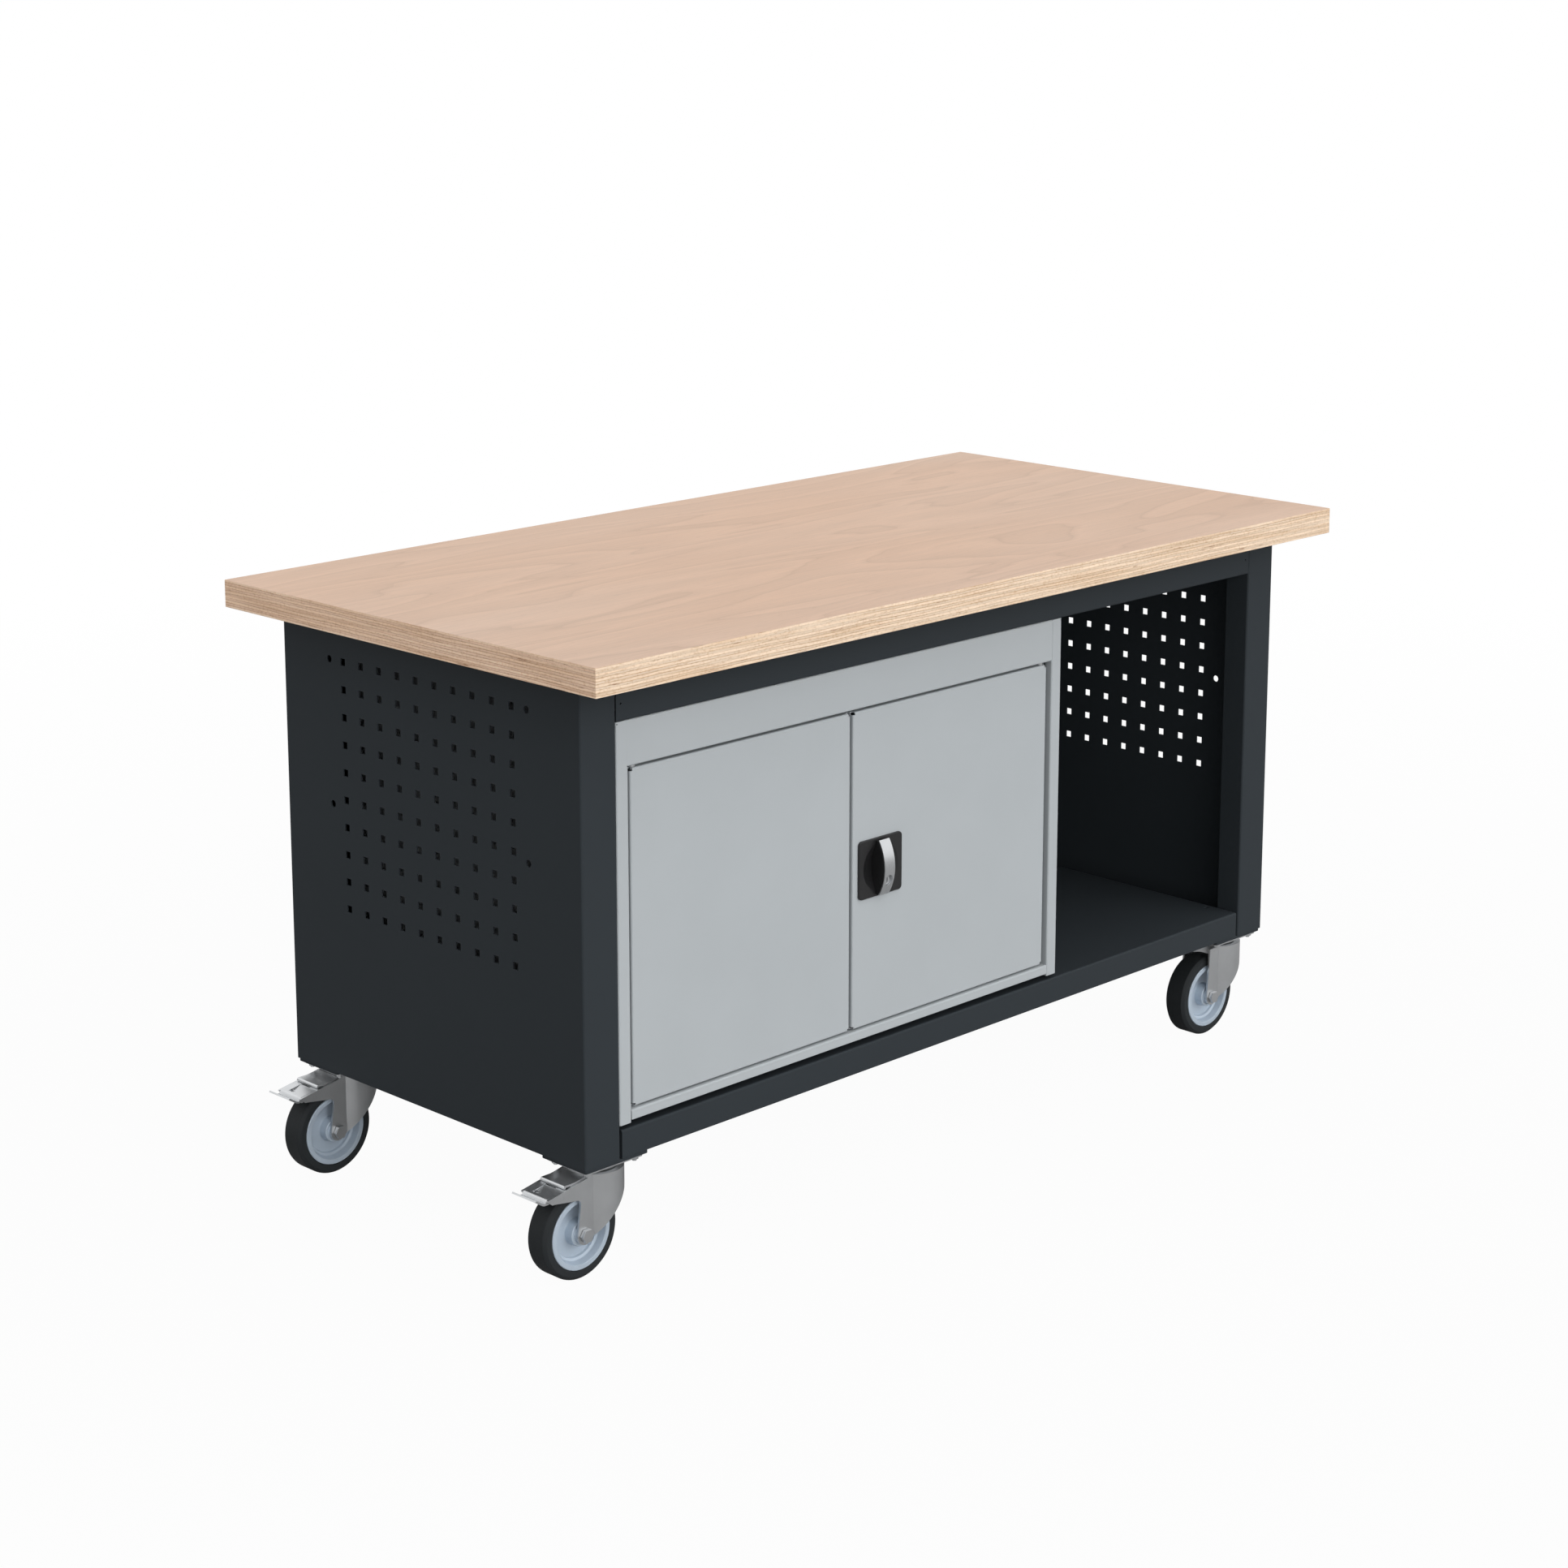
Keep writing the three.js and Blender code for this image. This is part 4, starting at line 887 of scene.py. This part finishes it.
def lock_plate():
    """Plate with rounded front edges and a round bowl behind the grip."""
    size = sizes()
    low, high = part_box("lock_plate")
    centre = lock_centre()
    plate_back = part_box("right_door")[0].y - size.clearance
    outline = rounded_rectangle(low.x, high.x, low.z, high.z, size.plate_corner)
    piece = slab("lock_escutcheon", outline, "y", low.y, plate_back)
    edge, eye = 1.1 * MM, 4.4 * MM
    round_edges(piece, lambda a, b: abs(a.y - low.y) < TOUCH and abs(b.y - low.y) < TOUCH, edge, 3)
    radius = bowl_radius()
    middle = low.y + size.bowl_depth - radius
    rim = math.degrees(math.asin(size.bowl_diameter / 2 / radius))

    def dish(reach):
        """Half the round section of the bowl, from its middle to its rim."""
        return [(0, middle + reach)] + arc(0, middle, reach, 90, 90 - rim, 16)[1:]

    shell = dish(radius + size.bowl_wall)
    shell += [(0, shell[-1][1])]
    weld(piece, spun("cup", shell, "y", (centre.x, 0, centre.z), 64))
    hollow = dish(radius)
    hollow += [(hollow[-1][0], low.y - 2 * MM), (0, low.y - 2 * MM)]
    carve(piece, spun("hollow", hollow, "y", (centre.x, 0, centre.z), 96))
    carve(piece, rod("eye", "y", centre, eye, low.y, low.y + 20 * MM))
    return dress(piece, finish("black"), "right_door", "black_plastic", "lock_plate")


def bow(low, high):
    """Centre, radius and half angle of the grip's bowed front, from its box."""
    half = (high.z - low.z) / 2
    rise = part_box("lock_plate")[0].y - sizes().clearance - sizes().grip_end - low.y
    radius = (half ** 2 + rise ** 2) / (2 * rise)
    return low.y + radius, radius, math.degrees(math.asin(half / radius))


def key_radius():
    low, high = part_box("key_cylinder")
    return (high.x - low.x) / 2


def handle_grip():
    """Blade with a bowed front that fills the bowl, bored for the key and the spindle."""
    size = sizes()
    low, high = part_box("handle_grip")
    centre = lock_centre()
    middle, radius, angle = bow(low, high)
    plate_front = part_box("lock_plate")[0].y
    back = plate_front - size.clearance
    deep = bowl_radius() - 2 * size.clearance
    bowl_middle = plate_front + size.bowl_depth - 2 * size.clearance - deep
    reach = math.degrees(math.acos((back - bowl_middle) / deep))
    outline = arc(middle, centre.z, radius, 180 - angle, 180 + angle, 32)
    outline += [(back, low.z)] + arc(bowl_middle, centre.z, deep, -reach, reach, 24) + [(back, high.z)]
    piece = slab("grip_blade", outline, "x", low.x, high.x)
    key = joint_spot("key_turn")
    key_bore, socket = key_radius() + 1.5 * MM, 4.35 * MM
    key_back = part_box("key_cylinder")[1].y + size.clearance
    carve(piece, rod("key_bore", "y", key, key_bore, low.y - 10 * MM, key_back, 48))
    carve(piece, rod("socket", "y", centre, socket, back - 4 * MM, back + 30 * MM))
    soften(piece, 0.7 * MM, 2)
    return dress(piece, finish("black"), "handle", "black_plastic", "handle_grip")


def handle_strip():
    """Bright strip along the grip's bow, with a sleeve round the key."""
    size = sizes()
    low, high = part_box("handle_strip")
    grip_low, grip_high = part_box("handle_grip")
    centre = lock_centre()
    middle, radius, angle = bow(grip_low, grip_high)
    inner = radius + size.clearance
    outer = inner + size.strip
    outline = arc(middle, centre.z, outer, 180 - angle, 180 + angle, 40)
    outline += arc(middle, centre.z, inner, 180 + angle, 180 - angle, 40)
    piece = slab("grip_strip", outline, "x", low.x, high.x)
    key = joint_spot("key_turn")
    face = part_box("key_cylinder")[0].y
    sleeve, key_hole = key_radius() + 1.3 * MM, key_radius() + size.clearance
    weld(piece, rod("sleeve", "y", key, sleeve, face - 3.4 * MM, face + 3 * MM, 64))
    over = slab("over", arc(middle, centre.z, outer, 180 - angle, 180 + angle, 40)
                + [(middle - 2 * radius, low.z), (middle - 2 * radius, high.z)], "x", low.x - MM, high.x + MM)
    carve(piece, over, rod("key_hole", "y", key, key_hole, low.y - 5 * MM, middle, 64))
    soften(piece, 0.35 * MM, 2)
    return dress(piece, finish("chrome"), "handle", "satin_chrome", "handle_strip")


def key_cylinder():
    """Key barrel with a stepped face and a key slot."""
    low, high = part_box("key_cylinder")
    key = joint_spot("key_turn")
    radius = key_radius()
    piece = rod("key_barrel", "y", key, radius, low.y + MM, high.y, 64)
    weld(piece, rod("plug", "y", key, 0.72 * radius, low.y, low.y + 3 * MM, 64))
    half_width, half_height, deep = 0.8 * MM, 3.6 * MM, 3 * MM
    carve(piece, cube("key_slot", (key.x - half_width, low.y - MM, key.z - half_height),
                      (key.x + half_width, low.y + deep, key.z + half_height)))
    soften(piece, 0.3 * MM, 2)
    return dress(piece, finish("chrome"), "key", "satin_chrome", "key_cylinder")


class WORKBENCH_OT_lock(bpy.types.Operator):
    """Model the lock plate, grip, strip and key barrel"""
    bl_idname = "workbench.lock"
    bl_label = "Lock"

    def execute(self, context):
        lock_plate()
        handle_grip()
        handle_strip()
        key_cylinder()
        return {"FINISHED"}


# Casters, modelled once about a swivel axis at X and Y zero with the floor at zero

def caster_origin(place):
    spot = joint_spot(f"{place}_swivel_turn")
    return Vector((spot.x, spot.y, 0))


def caster_box(node, place="front_left"):
    low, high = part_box(f"{place}_{node}")
    return low - caster_origin(place), high - caster_origin(place)


def axle_spot(place="front_left"):
    return joint_spot(f"{place}_wheel_spin") - caster_origin(place)


def hexagon(name, axis, middle, across, low, high):
    """A hexagon prism with rounded edges and one flat side on top."""
    u, v = (place for key, place in zip("xyz", middle) if key != axis)
    piece = slab(name, arc(u, v, across / math.sqrt(3), 0, 300, 5), axis, low, high)
    return soften(piece, 0.7 * MM, 2)


def make_caster_plate():
    """Top plate with its ball race, kingpin, nuts and studs."""
    size = sizes()
    low, high = caster_box("caster_plate")
    thickness, corner = 3 * MM, 5 * MM
    across, nut_height = 10 * MM, 4 * MM
    stud_radius, stud_length = 3 * MM, 6 * MM
    bottom = high.z - thickness
    over = caster_box("fork")[1].z + size.clearance
    outline = rounded_rectangle(low.x, high.x, low.y, high.y, corner)
    piece = soften(slab("caster_plate", outline, "z", bottom, high.z), 0.5 * MM, 2)
    race = [(0, low.z), (10 * MM, low.z), (11 * MM, low.z + MM), (11 * MM, low.z + 6 * MM),
            (6 * MM, low.z + 6 * MM), (6 * MM, over), (27 * MM, over), (29 * MM, over + MM),
            (31 * MM, bottom - 1.5 * MM), (33 * MM, bottom), (33 * MM, bottom + MM), (0, bottom + MM)]
    weld(piece, spun("race", race, "z", (0, 0, 0), 64))
    for x in (-size.bolt_span_x / 2, size.bolt_span_x / 2):
        for y in (-size.bolt_span_y / 2, size.bolt_span_y / 2):
            weld(piece, hexagon("nut", "z", (x, y, 0), across, bottom - nut_height, bottom + MM))
            weld(piece, rod("stud", "z", (x, y, 0), stud_radius, bottom - stud_length, bottom, 24))
    return piece


def pedal_spot():
    return joint_spot("front_left_pedal_press") - caster_origin("front_left")


def fork_side(axle, top, braked):
    """Side view of the fork in X and Z: leg, round end, rising edge of the skirt, and wing if braked."""
    end, drop, lead = 13 * MM, 18 * MM, 7 * MM
    skirt = Vector((sizes().fork_radius + MM, top - drop))
    rise = skirt - Vector((axle.x, axle.z))
    touch = math.degrees(math.atan2(rise.y, rise.x) - math.acos(end / rise.length))
    outline = [(skirt.x, top), tuple(skirt)] + arc(axle.x, axle.z, end, touch, -180, 20)
    leg = axle.x - lead
    if not braked:
        return outline + [(leg, top)]
    wing = [(-93, 118.8), (-96, 118.8), (-104, 125.4), (-103.6, 126.4), (-43, 137)]
    outline += [(leg, 106 * MM), (leg - MM, 110 * MM), (leg - 4 * MM, 112.4 * MM)]
    return outline + [(x * MM, z * MM) for x, z in wing] + [(-27 * MM, top)]


def make_fork(braked):
    """Fork cut from a U-shaped plan by its side view, with a crown and holes for the pins."""
    size = sizes()
    kingpin_hole, axle_hole, pedal_hole = 6.4 * MM, 5.4 * MM, 3.05 * MM
    beyond = 60 * MM
    place = "front_left" if braked else "front_right"
    low, high = caster_box("fork", place)
    axle = axle_spot(place)
    half = FORK_HALF
    inner = half - size.fork_sheet
    skirt, skirt_inner = size.fork_radius, size.fork_radius - size.fork_sheet
    turn = 180 - math.degrees(math.asin(half / skirt))
    turn_inner = 180 - math.degrees(math.asin(inner / skirt_inner))
    plan = [(low.x, half)] + arc(0, 0, skirt, turn, -turn, 40) + [(low.x, -half), (low.x, -inner)]
    plan += arc(0, 0, skirt_inner, -turn_inner, turn_inner, 40) + [(low.x, inner)]
    piece = slab("fork", plan, "z", low.z - MM, high.z)
    side = slab("side_view", fork_side(axle, high.z, braked), "y", -50 * MM, 50 * MM)
    combine(piece, side, "INTERSECT")
    crown = arc(0, 0, skirt - size.fork_sheet / 2, turn, -turn, 40)
    weld(piece, slab("crown", crown, "z", high.z - 4 * MM, high.z))
    carve(piece, rod("kingpin_hole", "z", (0, 0, 0), kingpin_hole, high.z - 10 * MM, high.z + MM))
    carve(piece, rod("axle_hole", "y", axle, axle_hole, -beyond, beyond))
    soften(piece, 0.6 * MM, 3, 44)
    if braked:
        carve(piece, rod("pedal_hole", "y", pedal_spot(), pedal_hole, -beyond, beyond))
    return piece


def make_axle_bolt():
    low, high = caster_box("axle_bolt")
    axle = axle_spot()
    face = FORK_HALF + sizes().clearance
    shank, across, sunk = 5 * MM, 17 * MM, 3 * MM
    piece = rod("axle_bolt", "y", axle, shank, low.y + sunk, high.y - sunk)
    head = hexagon("head", "y", axle, across, low.y, -face)
    nut = hexagon("nut", "y", axle, across, face, high.y)
    return weld(piece, head, nut)


def closed_ring(half):
    """A closed section of radius and height from its upper half."""
    return half + [(radius, -height) for radius, height in reversed(half)] + half[:1]


def make_rim():
    """Wheel centre: flat outer ring, deep recess to a dished web, stepped hub."""
    hub = caster_box("rim")[1].y / MM
    outer = sizes().rim_diameter / 2 / MM
    ring = sizes().rim_width / 2 / MM
    half = [(5.4, hub), (11.6, hub), (12.5, hub - 0.9), (12.5, 19.4), (12.9, 19), (16.2, 19), (17, 18.2),
            (17.3, 8), (18, 5.8), (20, 4.6), (33.6, 4), (34.6, 4.3), (35.2, 5.2), (35.7, 7.4), (36.6, 8),
            (38.4, 8.6), (39.4, 9.8), (41.4, ring - 1), (42.3, ring), (outer - 0.8, ring),
            (outer, ring - 0.8)]
    return spun("rim", closed_ring([(r * MM, y * MM) for r, y in half]), "y", axle_spot(), 96)


def make_tyre():
    low, high = caster_box("tyre")
    radius = axle_spot().z
    half = (high.y - low.y) / 2
    shoulder = sizes().wheel_shoulder
    seam, bead, bend = 0.2 * MM, 1.2 * MM, 0.9 * MM
    inner = sizes().rim_diameter / 2 + seam
    right = [(inner, half - bead), (inner + bead, half)]
    right += [(radius - shoulder - bend, half), (radius - shoulder, half - 0.25 * bend),
              (radius - 0.25 * bend, half - shoulder), (radius, half - shoulder - bend)]
    return spun("tyre", closed_ring(right), "y", axle_spot(), 128)


def make_pedal():
    """Brake pedal: plate with a pressed-down flap, raised tab, lip from below, cheeks and shoe."""
    sheet = 2.5 * MM
    inner = 22.7 * MM
    root, front, under = (Vector(spot) * MM for spot in ((-58, 134.3), (-102.5, 126.9), (-105, 122)))

    def top(x):
        return front.y + (root.y - front.y) * (x - front.x) / (root.x - front.x)

    bend = 2 * MM
    piece = folded("brake_pedal", [root, front, under], "y", -inner, inner, sheet, bend)
    lip = [Vector(spot) * MM for spot in ((-95, 122.8), (-107, 122.4), (-120.2, 130.8))]
    weld(piece, folded("lip", lip, "y", -inner, inner, sheet, bend))
    point, corner, side = (Vector(spot) * MM for spot in ((-97, 11), (-75.5, 11), (-97, -4)))
    below, above = 100 * MM, 200 * MM
    carve(piece, slab("window", [point, corner, side], "z", below, above))
    carve(piece, cube("slot", (-76 * MM, -8.5 * MM, below), (-73.8 * MM, 11 * MM, above)))
    tab = arc(-71.2, 134.4, 2.6, 230, 90, 10)
    tab += [(-57.2, 137), (-54.8, 137.3), (-37, 139.6), (-37, 137.1), (-56, 133.4), (-62, 133.2),
            (-63, 134.3), (-70.6, 134.3), (-71.2, 132.6)]
    weld(piece, slab("tab", [(x * MM, z * MM) for x, z in tab], "y", -inner, inner))
    pin = pedal_spot()
    ear, pin_bore = 6 * MM, 3.3 * MM
    cheek_start, cheek_stop = -89 * MM, -71 * MM
    cheek = [(cheek_start, top(cheek_start) - sheet / 2)] + arc(pin.x, pin.z, ear, 180, 360, 12)
    cheek += [(cheek_stop, top(cheek_stop) - sheet / 2)]
    for y in (-inner, inner - sheet):
        weld(piece, slab("cheek", cheek, "y", y, y + sheet))
    weld(piece, cube("shoe", (-92.5 * MM, -12 * MM, 114 * MM),
                     (-90 * MM, 12 * MM, top(-91 * MM) - sheet / 2)))
    carve(piece, rod("pin_bore", "y", pin, pin_bore, -40 * MM, 40 * MM))
    fold = [Vector((*spot, top(spot.x) - 0.2 * MM)) for spot in (corner, side)]
    tip = Vector((point.x + 0.6 * MM, point.y - 0.9 * MM, top(point.x) - 3.4 * MM))
    flap = polyline("flap", [*fold, tip])
    bpy.ops.mesh.edge_face_add()
    bpy.ops.mesh.extrude_region_move(TRANSFORM_OT_translate={"value": (0.4 * MM, -0.6 * MM, -1.6 * MM)})
    tidy_normals()
    end_edit()
    weld(piece, flap)
    return soften(piece, 0.35 * MM, 2)


def make_pedal_pin():
    low, high = caster_box("pedal_pin")
    pin = pedal_spot()
    chamfer = 0.1 * MM
    radius = 3 * MM
    profile = [(0, low.y), (radius - chamfer, low.y), (radius, low.y + chamfer)]
    profile += [(r, low.y + high.y - y) for r, y in reversed(profile)]
    return spun("pedal_pin", profile, "y", (pin.x, 0, pin.z), 32)


class WORKBENCH_OT_casters(bpy.types.Operator):
    """Model each caster piece once and set copies of it under the corners"""
    bl_idname = "workbench.casters"
    bl_label = "Casters"

    def execute(self, context):
        makers = {
            "caster_plate": (make_caster_plate, "zinc", "zinc", "bench"),
            "axle_bolt": (make_axle_bolt, "zinc", "zinc", "swivel"),
            "rim": (make_rim, "rim", "wheel_plastic", "wheel"),
            "tyre": (make_tyre, "tyre", "tyre_rubber", "wheel"),
            "pedal_pin": (make_pedal_pin, "zinc", "steel", "swivel"),
            "brake_pedal": (make_pedal, "zinc", "zinc", "pedal"),
        }
        for node, (make, look, slot, carrier) in makers.items():
            pattern = make()
            for place in CASTERS:
                if f"{place}_{node}" in frame["nodes"]:
                    self.set_copy(pattern, place, node, look, slot, carrier)
            bpy.data.objects.remove(pattern)
        for braked, places in ((True, CASTERS[:2]), (False, CASTERS[2:])):
            pattern = make_fork(braked)
            for place in places:
                self.set_copy(pattern, place, "fork", "zinc", "zinc", "swivel")
            bpy.data.objects.remove(pattern)
        for place in CASTERS:
            self.foot_plate(place)
        return {"FINISHED"}

    def set_copy(self, pattern, place, node, look, slot, carrier):
        piece = copied(pattern, f"{node}_{place}", caster_origin(place))
        body = "bench" if carrier == "bench" else f"{place}_{carrier}"
        dress(piece, finish(look), body, slot, f"{place}_{node}")

    def foot_plate(self, place):
        low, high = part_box(f"{place}_foot_plate")
        outline = rounded_rectangle(low.x, high.x, low.y, high.y, 3 * MM)
        piece = soften(slab(f"foot_plate_{place}", outline, "z", low.z, high.z), 0.5 * MM, 2)
        dress(piece, finish("anthracite"), "bench", "anthracite_paint", f"{place}_foot_plate")


# Pieces inside, whose plain solids keep their shape

class WORKBENCH_OT_inside(bpy.types.Operator):
    """Give the inner pieces, whose plain solids are shown, their finishes"""
    bl_idname = "workbench.inside"
    bl_label = "Inner pieces"

    def execute(self, context):
        looks = {"grey_paint": "grey", "steel": "steel", "zinc": "zinc", "black_plastic": "black"}
        slots = {row["node"]: row["material_slot"] for row in frame["record"]["subparts"]}
        for node, shown in frame["nodes"].items():
            if shown.hide_render:
                continue
            shown.data.materials.clear()
            shown.data.materials.append(finish(looks[slots[node]]))
        return {"FINISHED"}


# Stage

class WORKBENCH_OT_stage(bpy.types.Operator):
    """Lay the floor, set the lights and stand the camera near where the photograph was taken"""
    bl_idname = "workbench.stage"
    bl_label = "Stage"

    def execute(self, context):
        self.floor()
        self.world(context)
        self.lights(context)
        self.camera(context)
        context.scene.view_settings.view_transform = "Standard"
        return {"FINISHED"}

    def floor(self):
        """A pale floor that fades to white away from the bench and keeps its shadow."""
        clear_selection()
        bpy.ops.mesh.primitive_plane_add(size=FLOOR_SIDE)
        floor = bpy.context.object
        floor.name = "studio_floor"
        look = Finish("studio_floor")
        matt = look.add("ShaderNodeBsdfDiffuse", {"Color": tuple(colours().floor)})
        glow = look.add("ShaderNodeEmission")
        distance = look.add("ShaderNodeVectorMath", operation="LENGTH")
        look.set(distance.inputs[0], look.place)
        tone = look.span(distance.outputs["Value"], PALE_FLOOR, 1.0, FADE_START, FADE_END)
        path = look.add("ShaderNodeLightPath").outputs
        bounced = look.maths("MAXIMUM", path["Is Glossy Ray"], path["Is Transmission Ray"])
        mirrored = look.maths("MULTIPLY", bounced, MIRRORED_FLOOR)
        seen = look.maths("MULTIPLY", look.maths("MAXIMUM", path["Is Camera Ray"], mirrored), tone)
        mix = look.add("ShaderNodeMixShader", {"Fac": seen})
        look.set(mix.inputs[1], matt.outputs["BSDF"])
        look.set(mix.inputs[2], glow.outputs["Emission"])
        look.tree.nodes.remove(look.shader)
        look.set(look.tree.nodes["Material Output"].inputs["Surface"], mix.outputs["Shader"])
        floor.data.materials.append(look.material)

    def world(self, context):
        """White to the camera and in metal; otherwise a dim room with one wide soft light in front."""
        stage = context.scene.workbench_stage
        world = bpy.data.worlds.new("studio")
        context.scene.world = world
        world.use_nodes = True
        nodes = Nodes(world.node_tree)
        split = nodes.add("ShaderNodeSeparateXYZ", {"Vector": nodes.place})
        facing = nodes.maths("MAXIMUM", nodes.maths("MULTIPLY", split.outputs["Y"], -1.0), 0.0)
        lobe = nodes.maths("POWER", facing, GLOW_FOCUS)
        room = nodes.maths("MULTIPLY_ADD", lobe, stage.front_glow, stage.ambient)
        path = nodes.add("ShaderNodeLightPath").outputs
        shown = nodes.maths("MAXIMUM", path["Is Camera Ray"], path["Is Glossy Ray"])
        shown = nodes.maths("MAXIMUM", shown, path["Is Transmission Ray"])
        strength = nodes.maths("MULTIPLY_ADD", nodes.maths("SUBTRACT", 1.0, shown), room, shown)
        background = nodes.tree.nodes["Background"]
        nodes.set(background.inputs["Strength"], strength)
        nodes.set(background.inputs["Color"], (1, 1, 1))

    def lights(self, context):
        lamp = bpy.data.lights.new("top_light", "SUN")
        lamp.energy = context.scene.workbench_stage.top_light
        lamp.angle = TOP_SPREAD
        context.scene.collection.objects.link(bpy.data.objects.new("top_light", lamp))

    def camera(self, context):
        stage = context.scene.workbench_stage
        data = bpy.data.cameras.new("camera")
        data.lens = stage.lens
        data.sensor_width = SENSOR_WIDTH
        data.shift_y = stage.shift
        camera = bpy.data.objects.new("camera", data)
        camera.location = stage.camera_place
        camera.rotation_euler = Euler((math.pi / 2 - stage.camera_pitch, 0, -stage.camera_yaw))
        context.scene.collection.objects.link(camera)
        context.scene.camera = camera


PIECES = (
    WORKBENCH_OT_worktop, WORKBENCH_OT_frame, WORKBENCH_OT_cabinet, WORKBENCH_OT_doors, WORKBENCH_OT_lock,
    WORKBENCH_OT_casters, WORKBENCH_OT_inside, WORKBENCH_OT_stage,
)


class WORKBENCH_PT_panel(bpy.types.Panel):
    """Lists the steps that dress the workbench"""
    bl_idname = "WORKBENCH_PT_panel"
    bl_label = "Mobile workbench"
    bl_space_type = "VIEW_3D"
    bl_region_type = "UI"
    bl_category = "Workbench"

    def draw(self, context):
        for piece in PIECES:
            self.layout.operator(piece.bl_idname)
        for group in ("workbench_sizes", "workbench_colours", "workbench_stage"):
            settings = getattr(context.scene, group)
            for name in settings.bl_rna.properties.keys():
                if name not in ("rna_type", "name"):
                    self.layout.prop(settings, name)


CLASSES = (WorkbenchSizes, WorkbenchColours, WorkbenchStage, *PIECES, WORKBENCH_PT_panel)


def register():
    for item in CLASSES:
        bpy.utils.register_class(item)
    bpy.types.Scene.workbench_sizes = PointerProperty(type=WorkbenchSizes)
    bpy.types.Scene.workbench_colours = PointerProperty(type=WorkbenchColours)
    bpy.types.Scene.workbench_stage = PointerProperty(type=WorkbenchStage)


def unregister():
    del bpy.types.Scene.workbench_stage
    del bpy.types.Scene.workbench_colours
    del bpy.types.Scene.workbench_sizes
    for item in reversed(CLASSES):
        bpy.utils.unregister_class(item)


def main():
    register()
    for piece in PIECES:
        group, step = piece.bl_idname.split(".")
        getattr(getattr(bpy.ops, group), step)()


if __name__ == "__main__":
    main()
